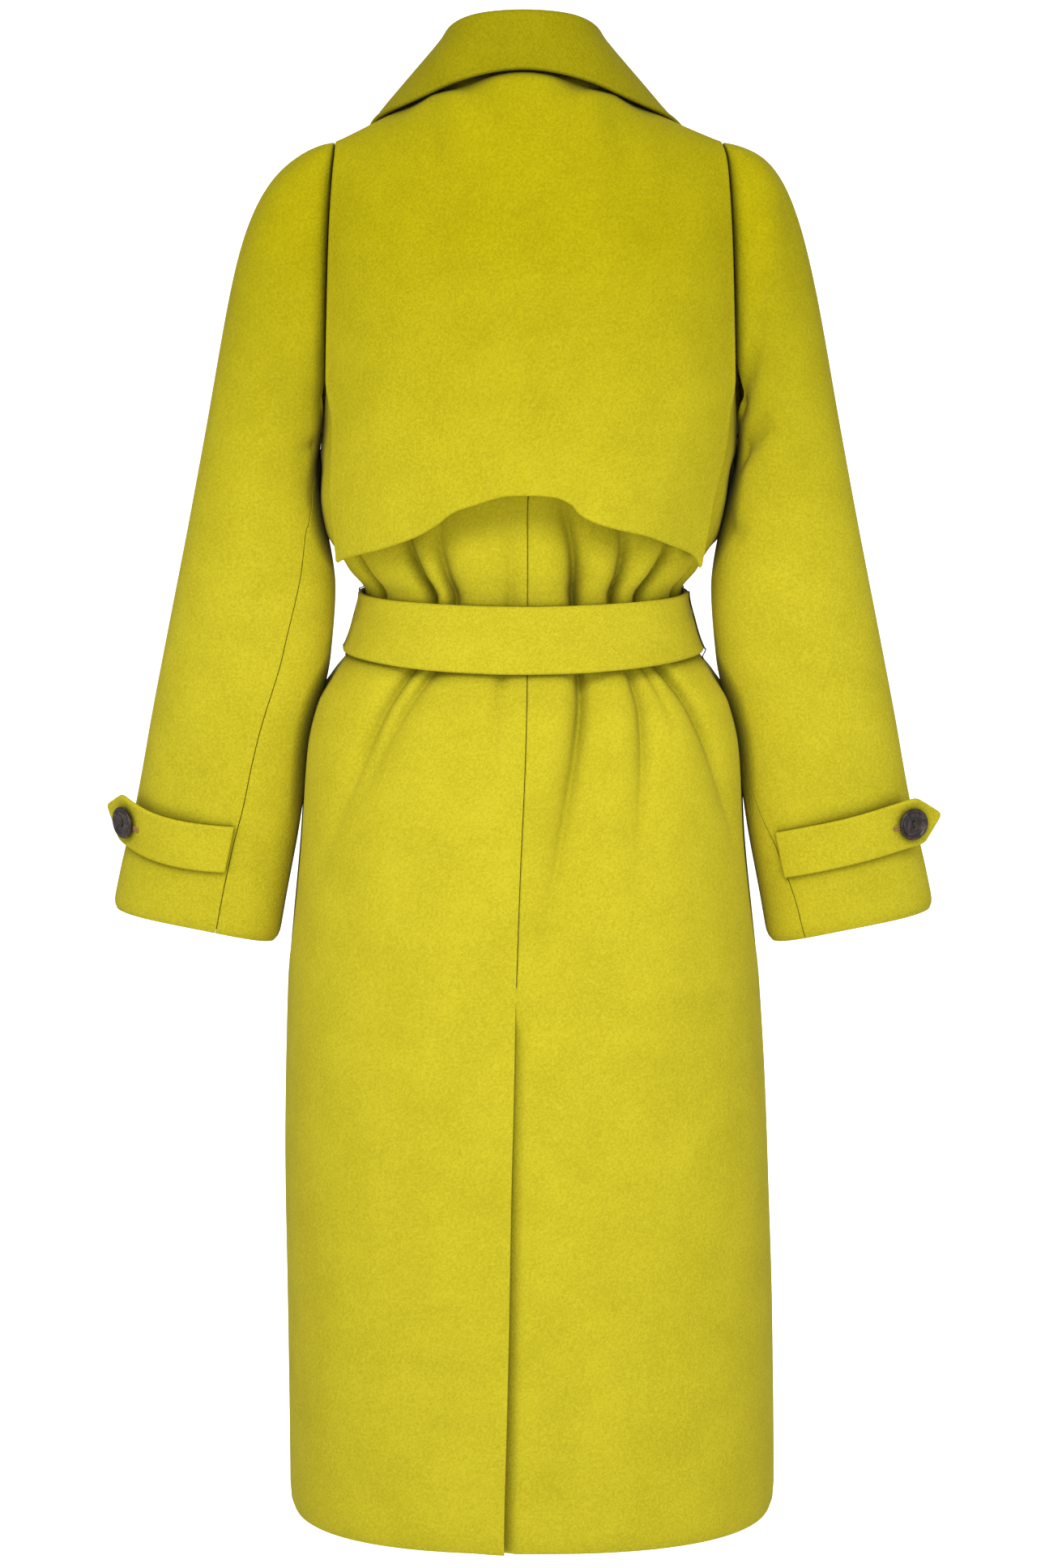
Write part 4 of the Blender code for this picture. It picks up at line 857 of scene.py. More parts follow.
def front_panel(node, sign):
    """One front, from the side seam past the centre. The wearer's right front lies outside."""
    far = 2.0 + FRONT_OVERLAP
    even = shares(FRONT_COLUMNS, 0.36, CLOTH / 2)
    past_centre = share_at(-roll_x(HEIGHTS) / along(TORSO, "half_width", HEIGHTS))
    last = np.where(HEIGHTS < BREAK_HEIGHT, far, 2.0 + past_centre)[:, None]
    turns = sign * (1.0 + even[None, :] * (last - 1.0))
    if sign < 0:
        turns = turns[:, ::-1]
    heights = np.broadcast_to(HEIGHTS[:, None], turns.shape)
    lower = lifted(section, turns, heights, np.zeros(turns.shape))
    lower = turned_hem(*lower, heights, HEM_REACH, HEM_DEPTH), lower[1]
    low_x = sign * section(turns[-1], UNDERARM_HEIGHT, pleated=False)[:, 0]
    share = (low_x - low_x.max()) / (low_x.min() - low_x.max())
    side = along(ARMHOLE, "x", CLIMBS, key="climb")[:, None]
    x = sign * (side + (roll_at_climb(CLIMBS)[:, None] - side) * share)
    upper = lifted(front_yoke, x, np.broadcast_to(CLIMBS[:, None], x.shape), np.zeros(x.shape), flip=True)
    outer = joined(lower, upper)
    if sign < 0:
        out = np.concatenate([lower[1], upper[1]])
        outer = outer - (FRONT_TUCK * ramp(outer[..., 0], *FRONT_TUCK_X))[..., None] * out
    outer = outer + np.array((0, 1, 0)) * SEAM_GAP / 2
    return cloth("coat_" + node, outer, CLOTH, node, lips=(0.25, 0, 0, 0))


# Storm flap, collar and lapels

# Soft waves of the flap's hanging part: place, half width, and how far the lower edge stands out there.
FLAP_WAVES = table(
    "share wide out",
    (-0.80, 0.13, 0.0018),
    (-0.52, 0.11, -0.0014),
    (-0.30, 0.10, 0.0016),
    (0.235, 0.050, -0.0024),
    (0.36, 0.10, 0.0020),
    (0.66, 0.12, -0.0012),
    (0.88, 0.08, 0.0016),
)


def flap_top(at, climbs, lift):
    """A face of the flap where it lies on the back, moved out without moving sideways."""
    side = along(ARMHOLE, "x", climbs, key="climb")
    free = np.minimum(side, FLAP_SIDE_X) * FLAP_SIDE_SHARE
    reach = free + (side + FLAP_SEAM_REACH - free) * ramp(climbs, *FLAP_SEWN_CLIMBS)
    x = np.sign(at) * quarter(np.abs(at))[0] * reach
    points, out = lifted(back_yoke, x, climbs, np.zeros(x.shape))
    upright = out * np.array((0, 1, 1))
    full = FLAP_FULLNESS * (1 - ramp(np.abs(x), *FLAP_FULL_ACROSS)) * ramp(climbs, *FLAP_FULL_FROM)
    middle = 1 - ramp(np.abs(x), *FLAP_MIDDLE)
    ends = (1 - middle) * ramp(climbs, *FLAP_FULL_TO) + middle * ramp(climbs, *FLAP_FULL_TO_MIDDLE)
    full = full * (1 - ends)
    return points + (lift + full)[..., None] * upright / np.sum(upright**2, axis=-1, keepdims=True)


def flap_hang(at, drops, lift):
    """A face of the flap where it hangs free. Drop is 0 where it leaves the back and 1 at its edge."""
    top = flap_top(at, np.full(at.shape, FLAP_LOW_CLIMB), lift)
    low = along(FLAP_EDGE, "height", at, key="share") - MOUNT_HEIGHT
    narrowing = np.where(at > 0, FLAP_NARROWING["right"], FLAP_NARROWING["left"])
    x = top[..., 0] * (1 - narrowing * drops**1.5)
    y = top[..., 1] * (1 + FLAP_BELL * drops**1.15)
    for row in each_row(FLAP_WAVES):
        y = y - row["out"] * drops**1.4 * np.exp(-(((at - row["share"]) / row["wide"]) ** 2))
    return np.stack([x, y, top[..., 2] + (low - top[..., 2]) * drops], axis=-1)


def storm_flap():
    """The flap across the back, sewn in above and free at its lower edge."""
    lift = FLAP_GAP + FLAP_CLOTH
    at = shares(230, 0.40, FLAP_CLOTH / 2)[None, :] * 2 - 1
    drops = 1 - shares(36, 0.10, FLAP_CLOTH / 2)[:-4, None]
    edge = FLAP_TOP_CLIMB - shares(2, 0.36, 0.0015)[:5][::-1]
    climbs = np.concatenate([np.linspace(FLAP_LOW_CLIMB, 0.96, 60), edge])
    hang = flap_hang(*np.broadcast_arrays(at, drops[drops[:, 0] > 0.012]), lift)
    top = flap_top(*np.broadcast_arrays(at, climbs[:, None]), lift)
    return cloth("coat_storm_flap", np.concatenate([hang, top]), FLAP_CLOTH, "storm_flap",
                 lips=(0.22, 0, 0.15, 0.15), rounds=(1, 1, 0.6, 0.6))


def clear_of_torso(points, back_lift, front_lift):
    """Moves points out until they clear the plain torso by the lift of that side.

    They move up near the ridge, and elsewhere back or to the front.
    """
    x, y, height = points[..., 0], points[..., 1], points[..., 2] + MOUNT_HEIGHT
    front = y > RIDGE_Y
    flat = np.where(front, depth_at_underarm(x, True), depth_at_underarm(x, False))
    lean = np.clip((y - RIDGE_Y) / (flat - RIDGE_Y), 0.0, 1.0) ** (1 / ARCH_POWER)
    lift = np.where(front, front_lift, back_lift)
    top = UNDERARM_HEIGHT + (ridge(x) - UNDERARM_HEIGHT) * np.sqrt(1 - lean**2) + 1.1 * lift
    face = np.where(front, surface_y(x, height, True) + lift, surface_y(x, height, False) - lift)
    clear = np.where(front, np.maximum(y, face), np.minimum(y, face))
    points[..., 2] = np.where(lean < 0.4, np.maximum(height, top), height) - MOUNT_HEIGHT
    points[..., 1] = np.where((lean >= 0.4) & (height < ridge(x)), clear, y)
    return points


STAND = np.concatenate([shares(2, 0.045, COLLAR_CLOTH / 2)[:6], np.linspace(0.12, 0.93, 9)])
FALL = np.concatenate([np.linspace(0.05, 0.92, 24), 1 - shares(2, 0.055, COLLAR_CLOTH / 2)[:7][::-1]])


def collar_curve(step):
    """The collar's middle line at a step from -1 to 1: up the stand, over the roll and down the fall."""
    rows = len(COLLAR["seam_x"]) - 1
    here = {}
    for name, values in COLLAR.items():
        whole = np.concatenate([values[:0:-1] * (-1 if name.endswith("_x") else 1), values])
        smooth = {"step": np.linspace(-1, 1, 2 * rows + 1), "value": whole}
        here[name] = float(along(smooth, "value", np.array(step), key="step"))
    seam, roll, edge = (np.array([here[f"{k}_x"], here[f"{k}_y"], here[f"{k}_h"] - MOUNT_HEIGHT])
                        for k in ("seam", "roll", "edge"))
    up = np.array((0.0, 0.0, 1.0))
    out = (edge - roll) * np.array((1, 1, 0))
    out /= np.linalg.norm(out)
    radius = here["roll_radius"]
    centre = roll - radius * up
    turn = np.linspace(0, math.pi, 17)[:, None]
    arc = centre + radius * (-np.cos(turn) * out + np.sin(turn) * up)
    stand = seam + (arc[0] - seam) * STAND[:, None]
    fall = arc[-1] + (edge - arc[-1]) * FALL[:, None] + FALL_ROUNDING * np.sin(math.pi * FALL[:, None]) * (out + up)
    fall = clear_of_torso(fall, COLLAR_BACK_LIFT, COLLAR_FRONT_LIFT)
    return np.concatenate([stand, arc, fall])


def collar():
    """The collar, its middle line smoothed along its length and over its roll."""
    steps = shares(190, 0.62, COLLAR_CLOTH / 2) * 2 - 1
    middle = np.array([collar_curve(step) for step in steps])
    for _ in range(60):
        middle[1:-1, 16:] += 0.25 * (middle[2:, 16:] + middle[:-2, 16:] - 2 * middle[1:-1, 16:])
    for _ in range(6):
        middle[:, 16:-8] += 0.25 * (middle[:, 17:-7] + middle[:, 15:-9] - 2 * middle[:, 16:-8])
    out = np.cross(np.gradient(middle, axis=1), np.gradient(middle, axis=0))
    out /= np.linalg.norm(out, axis=-1, keepdims=True)
    return cloth("coat_collar", middle + COLLAR_CLOTH / 2 * out, COLLAR_CLOTH, "collar", lips=(0.2, 0.2, 0, 0.45),
                 look=COLLAR_SHADED_WOOL)


def neck_facing():
    """The facing inside the back of the neck, from under the collar's stand down behind the back's edge."""
    at = np.linspace(-NECK_FACING_HALF, NECK_FACING_HALF, 60)[None, :]
    low = lifted(back_yoke, at, np.full(at.shape, NECK_FACING_LOW), -(CLOTH + NECK_FACING_GAP))[0]
    rim = lifted(back_yoke, at, np.full(at.shape, 0.985), -(CLOTH + NECK_FACING_GAP))[0]
    size = {name: np.concatenate([values[2::-1] * (-1 if name == "seam_x" else 1), values[1:3]])
            for name, values in COLLAR.items() if name.startswith("seam")}
    step = table("x y h", *zip(size["seam_x"], size["seam_y"], size["seam_h"]))
    top = np.stack([at, along(step, "y", at, key="x") + NECK_FACING_IN,
                    along(step, "h", at, key="x") + NECK_FACING_UP - MOUNT_HEIGHT], axis=-1)
    first, second = np.linspace(0, 1, 8)[:, None, None], np.linspace(0.125, 1, 10)[:, None, None]
    outer = np.concatenate([low + (rim - low) * first, rim + (top - rim) * second])
    cloth("coat_neck_facing", outer, NECK_FACING_CLOTH, None)


def lapel(node, sign):
    """A front turned back along the roll line."""
    top_h = LAPEL_TOP_ROLL[1]
    low_h = BREAK_HEIGHT + 0.004 if sign > 0 else LEFT_LAPEL_FOOT
    heights = low_h + (top_h - low_h) * shares(90, top_h - low_h, CLOTH / 2)
    share = (heights - BREAK_HEIGHT) / (top_h - BREAK_HEIGHT)
    roll = roll_x(heights) + 0.0008
    inner_x = roll if sign > 0 else np.maximum(roll, 0.002 - roll_x(heights))
    wide = LAPEL_FOOT_WIDTH + (LAPEL_POINT[0] - LAPEL_TOP_ROLL[0]) * share**0.8
    across = shares(40, 0.08, CLOTH / 2)[None, :]
    x = sign * (inner_x[:, None] + (roll + wide - inner_x)[:, None] * across)
    height = heights[:, None] + ((LAPEL_POINT[1] - top_h) * share)[:, None] * across
    tuck = FRONT_TUCK * ramp(x, *FRONT_TUCK_X) if sign < 0 else 0.0 * x
    lift = LAPEL_ROLL_GAP + (LAPEL_GAP - LAPEL_ROLL_GAP) * ramp(across, 0.0, 0.6) + CLOTH
    outer = lifted(front_face, x, height, lift - tuck, flip=True)[0]
    return cloth("coat_" + node, outer, CLOTH, node, lips=(0, 0.2, 0, 0.25), flip=sign > 0)


# Sleeves, straps and buttons

SLEEVE_RUNS = np.concatenate([
    -1 + shares(2, 0.2, CLOTH / 2)[:7], np.linspace(-0.96, -0.02, 42), np.linspace(0.0, 0.975, 88),
    1 - shares(2, 0.36, CLOTH / 2)[:7][::-1],
])
UPPER_COLUMNS = 104
HEAD_RISE = 0.0046
HEAD_ROUND = 0.006
HEAD_REACH = 0.055
HEAD_FRONT = (math.radians(-70.0), math.radians(-20.0))
HEAD_BACK = (math.radians(105.0), math.radians(140.0))
HEAD_SIDE = (math.radians(10.0), math.radians(50.0))
CUFF_RISE = 0.018
CUFF_REACH = 0.010
CUFF_DEPTH = 0.0030
UNDER_COLUMNS = 44

# Drag folds, by their deep and their shallow end as seen from the back.
SLEEVE_FOLDS = {
    "left": table(
        "x0 h0 x1 h1 depth width",
        (-0.1500, 0.8415, -0.1800, 0.8360, 0.0060, 0.0060),
        (-0.1530, 0.8720, -0.2080, 0.8880, 0.0030, 0.0110),
        (-0.1560, 0.8050, -0.2050, 0.8120, 0.0024, 0.0120),
        (-0.1600, 0.7000, -0.2250, 0.6700, 0.0024, 0.0160),
        (-0.1900, 0.5900, -0.2600, 0.5750, 0.0020, 0.0160),
    ),
    "right": table(
        "x0 h0 x1 h1 depth width",
        (0.1570, 0.8690, 0.1800, 0.9400, 0.0090, 0.0085),
        (0.1540, 0.8240, 0.1850, 0.8600, 0.0100, 0.0075),
        (0.1450, 0.7860, 0.1700, 0.7660, 0.0080, 0.0090),
        (0.2000, 1.0200, 0.2130, 0.9300, 0.0030, 0.0130),
        (0.1700, 0.6500, 0.2300, 0.6300, 0.0024, 0.0160),
    ),
}


def armhole(angle):
    """The seam line that a sleeve hangs from. Angle 0 is the shoulder, a quarter turn the back."""
    climb = (1 + np.cos(angle)) / 2
    x = along(ARMHOLE, "x", climb, key="climb")
    front = (np.sin(angle) < 0)[..., None]
    seam = np.where(front, yoke(x, climb, True), yoke(x, climb, False))
    seam[..., 0] += ARMHOLE_CLEARANCE
    seam[..., 2] += SLEEVE_HEAD * np.maximum(np.cos(angle), 0.0) ** 2
    return seam


def sleeve_ring(angle, station):
    row = {name: along(SLEEVE, name, station, key="station") for name in SLEEVE if name != "station"}
    middle_x, middle_h = (row["outer_x"] + row["inner_x"]) / 2, (row["outer_h"] + row["inner_h"]) / 2
    x = middle_x + (row["outer_x"] - row["inner_x"]) / 2 * np.cos(angle)
    height = middle_h + (row["outer_h"] - row["inner_h"]) / 2 * np.cos(angle)
    deep = np.sign(np.sin(angle)) * np.abs(np.sin(angle)) ** np.where(np.cos(angle) < 0, SLEEVE_INNER_POWER, 1.0)
    return np.stack([x, row["centre_y"] - row["half_depth"] * deep, height - MOUNT_HEIGHT], axis=-1)


def sleeve(angle, run):
    """The right sleeve's outer face. Run is -1 at the armhole, 0 at the biceps and 1 at the cuff."""
    angle, run = np.broadcast_arrays(np.asarray(angle, float), np.asarray(run, float))
    start, end = armhole(angle), sleeve_ring(angle, np.zeros(angle.shape))
    out, up = 0.55 + 0.43 * np.cos(angle), -0.6 + 0.45 * np.cos(angle)
    away = np.stack([out, -0.35 * np.sin(angle), up], axis=-1)
    away /= np.linalg.norm(away, axis=-1, keepdims=True)
    upward = sleeve_ring(angle, np.zeros(angle.shape)) - sleeve_ring(angle, np.full(angle.shape, 0.05))
    upward /= np.linalg.norm(upward, axis=-1, keepdims=True)
    reach = np.linalg.norm(end - start, axis=-1, keepdims=True)
    t = np.clip(run + 1, 0.0, 1.0)[..., None]
    second, third = start + CAP_OUT * reach * away, end + CAP_UP * reach * upward
    cap = (1 - t) ** 3 * start + 3 * t * (1 - t) ** 2 * second + 3 * t * t * (1 - t) * third + t**3 * end
    return np.where((run < 0)[..., None], cap, sleeve_ring(angle, np.clip(run, 0.0, 1.0)))


def back_sleeve_seam(side, run):
    return np.radians(along(SLEEVE_SEAM, side["seam"], np.asarray(run), key="run"))


def mirrored(points, sign):
    return points * np.array((sign, 1, 1))


def sleeve_piece(node, side, upper):
    """Half of a sleeve, between its front and back seams."""
    runs = SLEEVE_RUNS[:, None]
    seam = back_sleeve_seam(side, runs)
    if upper:
        share = shares(UPPER_COLUMNS, 0.21, CLOTH / 2)[None, :]
        angle = FRONT_SLEEVE_SEAM - 2 * math.pi + (seam - FRONT_SLEEVE_SEAM + 2 * math.pi) * share
    else:
        share = shares(UNDER_COLUMNS, 0.10, CLOTH / 2)[None, :]
        angle = seam + (FRONT_SLEEVE_SEAM - seam) * share
    angle = angle + SEAM_GAP / 2 / 0.05 * (1 - 2 * share)
    shorter = CUFF_RISE * np.maximum(np.sin(angle), 0.0) ** 2 * ramp(runs, 0.80, 1.0)
    outer, out = lifted(sleeve, angle, np.broadcast_to(runs, angle.shape) - shorter, 0.0)
    behind = ramp(-out[..., 1], 0.05, 0.55)
    drawn = creases(side["sign"] * outer[..., 0], outer[..., 2] + MOUNT_HEIGHT, SLEEVE_FOLDS[side["seam"]])
    outer = outer - (drawn * behind)[..., None] * out
    to_cuff = np.linalg.norm(outer - outer[-1:], axis=-1)
    outer = turned_hem(outer, out, to_cuff, CUFF_REACH, CUFF_DEPTH)
    from_head = np.cumsum(np.linalg.norm(np.diff(outer, axis=0, prepend=outer[:1]), axis=-1), axis=0)
    round_by = np.clip(from_head / HEAD_ROUND, 0.0, 1.0)
    at_head = ramp(angle, *HEAD_FRONT) * (1 - ramp(angle, *HEAD_BACK))
    at_head = at_head * (0.2 + 0.8 * ramp(np.abs(angle), *HEAD_SIDE))
    rise = HEAD_RISE * np.sqrt(1 - (1 - round_by) ** 2) * np.exp(-((from_head / HEAD_REACH) ** 2)) * at_head
    upright = out * np.array((0, 1, 1))
    outer = outer + (rise / np.maximum(np.sum(upright**2, axis=-1), 0.3))[..., None] * upright
    return cloth("coat_" + node, mirrored(outer, side["sign"]), CLOTH, node, lips=(0, 0.15, 0, 0),
                 rounds=(SEWN, 1, SEWN, SEWN), flip=side["sign"] < 0)


def sleeve_tapes(name, side):
    """The pressed-open allowances behind a sleeve's two seams."""
    runs = np.linspace(-0.93, 0.985, 120)[:, None]
    offset = TAPE_HALF / 0.05 * np.linspace(-1, 1, 9)[None, :]
    shorter = CUFF_RISE * ramp(runs, 0.80, 1.0)
    for which, seam in (("back", back_sleeve_seam(side, runs)), ("front", np.full(runs.shape, FRONT_SLEEVE_SEAM))):
        angle = seam + offset
        at = np.broadcast_to(runs, angle.shape) - shorter * np.maximum(np.sin(angle), 0.0) ** 2
        outer, out = lifted(sleeve, angle, at, -(CLOTH + TAPE_GAP))
        drawn = creases(side["sign"] * outer[..., 0], outer[..., 2] + MOUNT_HEIGHT, SLEEVE_FOLDS[side["seam"]])
        outer = outer - (drawn * ramp(-out[..., 1], 0.05, 0.55))[..., None] * out
        cloth(f"coat_{name}_{which}_tape", mirrored(outer, side["sign"]), TAPE_CLOTH, None, flip=side["sign"] < 0)


def armhole_tape(name, side):
    """The tape inside an armhole's front, from the torso's wall round the seam to the sleeve's."""
    angle = np.linspace(*ARMHOLE_TAPE_ANGLES, 140)[None, :]
    climb = (1 + np.cos(angle)) / 2
    x = side["sign"] * (along(ARMHOLE, "x", climb, key="climb") - TAPE_HALF)
    wall, wall_out = lifted(front_yoke, x, climb, -ARMHOLE_TAPE_IN, flip=True)
    inside = lifted(sleeve, angle, np.full(angle.shape, ARMHOLE_TAPE_RUN), -ARMHOLE_TAPE_IN)
    arm, arm_out = (mirrored(points, side["sign"]) for points in inside)
    out = wall_out + arm_out
    out /= np.linalg.norm(out, axis=-1, keepdims=True)
    seam = mirrored(armhole(angle), side["sign"]) - 1.3 * ARMHOLE_TAPE_IN * out
    first, second = np.linspace(0, 1, 5)[:, None, None], np.linspace(0.25, 1, 4)[:, None, None]
    outer = np.concatenate([wall + (seam - wall) * first, seam + (arm - seam) * second])
    cloth(f"coat_{name}_armhole_tape", outer, TAPE_CLOTH, None, flip=side["sign"] > 0)


def back_tape():
    """The pressed-open allowance behind the centre back seam, above the vent."""
    heights = np.linspace(VENT_TOP + 0.045, UNDERARM_HEIGHT - 0.004, 160)[:, None]
    turns = seam_turn(heights) + TAPE_HALF * np.linspace(-1, 1, 9)[None, :] / quarter_length(heights)
    outer = lifted(section, turns, np.broadcast_to(heights, turns.shape), -(CLOTH + TAPE_GAP))[0]
    cloth("coat_back_tape", outer, TAPE_CLOTH, None)


def strap_frame(side):
    """Angle and length tables of a strap's way round its sleeve, and the frame where it leaves."""
    first = float(back_sleeve_seam(side, np.array(STRAP_STATION))) - 0.03
    angles = np.linspace(first, math.radians(side["strap_leaves"]), 60)
    path = sleeve(angles, np.full(60, STRAP_STATION))
    lengths = np.concatenate([[0.0], np.cumsum(np.linalg.norm(np.diff(path, axis=0), axis=1))])
    ahead = path[-1] - path[-2]
    return angles, lengths, ahead / np.linalg.norm(ahead)


def strap_face(side, length, across):
    """The strap's inner face: round the sleeve first, then straight on past it."""
    angles, lengths, ahead = strap_frame(side)
    length, across = np.broadcast_arrays(np.asarray(length, float), np.asarray(across, float))
    on = np.minimum(length, lengths[-1])
    sleeve_length = np.linalg.norm(sleeve_ring(0.0, np.array(0.9)) - sleeve_ring(0.0, np.array(0.8))) / 0.1
    rise = side["strap_tilt"] * length + side["strap_bend"] * (length / strap_total(side)) ** 2
    run = np.clip(STRAP_STATION + (across - rise) / sleeve_length, 0.0, 0.999)
    angle = np.interp(on, lengths, angles)
    lift = STRAP_LIFT + side["strap_gape"] * ramp(length, 0.012, 0.060) * (0.5 - across / STRAP_WIDTH)
    return lifted(sleeve, angle, run, lift)[0] + (length - on)[..., None] * ahead


def on_strap(side, length, across, lift):
    """A point over the strap's outer face, its normal there and the strap's direction, in the row frame."""
    point, out = lifted(lambda a, b: strap_face(side, a, b), np.array(length), np.array(across),
                        np.array(STRAP_CLOTH + lift), flip=True)
    z = Vector(mirrored(out, side["sign"])).normalized()
    x = Vector(mirrored(strap_frame(side)[2], side["sign"]))
    x = (x - x.dot(z) * z).normalized()
    return Vector(mirrored(point, side["sign"])), x, z


STRAP_TIP = table(
    "back half",
    (0.000, 0.050),
    (0.0006, 0.110),
    (0.0020, 0.200),
    (0.0100, 0.600),
    (0.0165, 0.910),
    (0.0190, 0.975),
    (0.0220, 1.000),
)


def strap_total(side):
    return strap_frame(side)[1][-1] + side["strap_free"]


def cuff_strap(node, side):
    """A pointed strap from the back sleeve seam, round the sleeve and past it."""
    total = strap_total(side)
    length = total * shares(110, total, STRAP_CLOTH / 2)[:, None]
    half = np.interp(total - length, STRAP_TIP["back"], STRAP_TIP["half"]) * STRAP_WIDTH / 2
    across = half * (2 * shares(34, STRAP_WIDTH, STRAP_CLOTH / 2)[None, :] - 1)
    outer = lifted(lambda a, b: strap_face(side, a, b), np.broadcast_to(length, across.shape), across,
                   STRAP_CLOTH, flip=True)[0]
    return cloth("coat_" + node, mirrored(outer, side["sign"]), STRAP_CLOTH, node, lips=(0, 0, 0.12, 0.12),
                 flip=side["sign"] < 0)


def button(node, side):
    """A dished button with a raised rim and two stitched holes, lying on the strap's end."""
    centre, x, z = on_strap(side, strap_total(side) - BUTTON_FROM_TIP, 0.0, LAYER_GAP)
    place = Matrix((x, z.cross(x), z)).transposed().to_4x4()
    place.translation = centre
    r, top = BUTTON_RADIUS, BUTTON_HEIGHT
    floor = top - BUTTON_DISH
    profile = [(r * 0.30, 0.0), (r * 0.66, 0.0), (r * 0.80, top * 0.08), (r * 0.93, top * 0.30),
               (r * 0.985, top * 0.48), (r, top * 0.64), (r * 0.992, top * 0.80), (r * 0.965, top * 0.93),
               (r * 0.925, top * 0.995),
               (r * 0.885, top), (r * 0.845, top * 0.975), (r * 0.81, floor + 0.0006), (r * 0.775, floor + 0.0001),
               (r * 0.74, floor - 0.0001), (r * 0.71, floor + 0.0002), (r * 0.66, floor + 0.0003), (r * 0.45, floor)]
    profile += [(at, floor - 0.0003 * (1 - at / 0.0056)) for at in np.arange(0.0044, 0.0003, -0.00016)]
    made = bmesh.new()
    rings = []
    for at, height in profile:
        ring = []
        for turn in np.arange(BUTTON_SIDES) * 2 * math.pi / BUTTON_SIDES:
            px, py = at * math.cos(turn), at * math.sin(turn)
            away = math.hypot(px, abs(py) - BUTTON_HOLE_OFFSET)
            pit = BUTTON_PIT * float(1 - ramp(away, 0.8 * BUTTON_HOLE_RADIUS, BUTTON_HOLE_RADIUS))
            ring.append(made.verts.new((px, py, height - (pit if height > top / 2 else 0.0))))
        rings.append(ring)
    for low, high in zip(rings, rings[1:]):
        for j in range(BUTTON_SIDES):
            k = (j + 1) % BUTTON_SIDES
            made.faces.new((low[j], low[k], high[k], high[j]))
    made.faces.new(rings[0][::-1])
    made.faces.new(rings[-1])
    mesh = mesh_from(made, "coat_" + node)
    mesh.transform(place)
    piece = place_piece("coat_" + node, mesh, HORN, node)
    mesh.set_sharp_from_angle(angle=math.radians(60))

    thread = bmesh.new()
    for k in (-1, 0, 1):
        bow = [(k * 0.00045, t * BUTTON_HOLE_OFFSET, floor + 0.0004 - 0.0016 * t**6) for t in np.linspace(-1, 1, 11)]
        tube(thread, [place @ Vector(p) for p in bow], 0.00028, 7)
    name = f"coat_{node}_thread"
    return piece, place_piece(name, mesh_from(thread, name), DARK_THREAD)


def buttonhole(name, side):
    """The stitched end of the buttonhole, which shows beside the button."""
    middle = strap_total(side) - BUTTON_FROM_TIP - BUTTON_RADIUS - 0.0012
    made = bmesh.new()
    for i in range(13):
        along_hole = middle - 0.0032 + 0.0005 * i
        spread = 0.0011 + 0.0005 * ((i * 5) % 3)
        for end in (-1, 1):
            path = []
            for t in np.linspace(0.0, 1.0, 7):
                lift = 0.00012 + 0.00028 * math.sin(math.pi * t)
                path.append(on_strap(side, along_hole + 0.0003 * t, end * (0.0001 + spread * t), lift)[0])
            tube(made, path, 0.00024, 6)
    return place_piece(name, mesh_from(made, name), TAN_THREAD)


# Belt


BELT_WRINKLES = table(
    "turn share0 share1 depth wide slope",
    (-0.915, 0.10, 0.62, 0.0016, 0.0050, 0.020),
    (-0.860, 0.45, 1.00, 0.0014, 0.0060, -0.030),
    (-0.770, 0.05, 0.50, 0.0010, 0.0080, 0.035),
    (0.870, 0.40, 1.00, 0.0010, 0.0070, 0.030),
    (1.620, 0.10, 0.90, 0.0014, 0.0070, 0.040),
    (-1.640, 0.15, 0.95, 0.0014, 0.0070, -0.040),
)


def belt_face(turn, share):
    """The belt's inner face, from its lower edge at 0 to its upper edge at 1."""
    back = ramp(1 - np.abs(turn), 0.0, 1.0)
    high = BELT_HIGH - BELT_BACK_DROP * back
    low = BELT_LOW - (BELT_BACK_DROP + BELT_BACK_WIDENING) * back
    return section(turn, low + (high - low) * share, pleated=False)


def belt_band():
    """The belt round the waist, pressed and wrinkled where it bends."""
    turns = BELT_KNOT_TURN * (2 * shares(340, 0.72, BELT_CLOTH / 2)[:, None] - 1)
    at = shares(30, 0.052, BELT_CLOTH / 2)[None, :]
    turns, at = np.broadcast_arrays(turns, at)
    behind = ramp(1.15 - np.abs(turns), 0.0, 0.4)
    press = 0.0007 * np.exp(-(((at - 0.60 - 0.03 * turns) / 0.045) ** 2)) * behind
    for row in each_row(BELT_WRINKLES):
        off = (turns - row["turn"] - row["slope"] * (at - 0.5)) * 0.18
        middle, reach = (row["share0"] + row["share1"]) / 2, (row["share1"] - row["share0"]) / 2
        shown = 1 - ramp(np.abs(at - middle), 0.3 * reach, reach)
        press = press + row["depth"] * np.exp(-((off / row["wide"]) ** 2)) * shown
    soft = 0.0006 * np.sin(9.0 * turns + 1.3) * np.sin(math.pi * at)
    outer = lifted(belt_face, turns, at, BELT_GAP + BELT_CLOTH - press + soft * behind)[0]
    return cloth("coat_belt_band", outer, BELT_CLOTH, "belt_band", lips=(0, 0, 0.10, 0.10), flip=True)


KNOT_BACK = 0.0066
KNOT_PLEATS = table(
    "at slope depth wide",
    (-0.62, 0.28, 0.0016, 0.085),
    (-0.22, 0.22, 0.0022, 0.075),
    (0.20, 0.26, 0.0019, 0.080),
    (0.58, 0.20, 0.0014, 0.090),
)


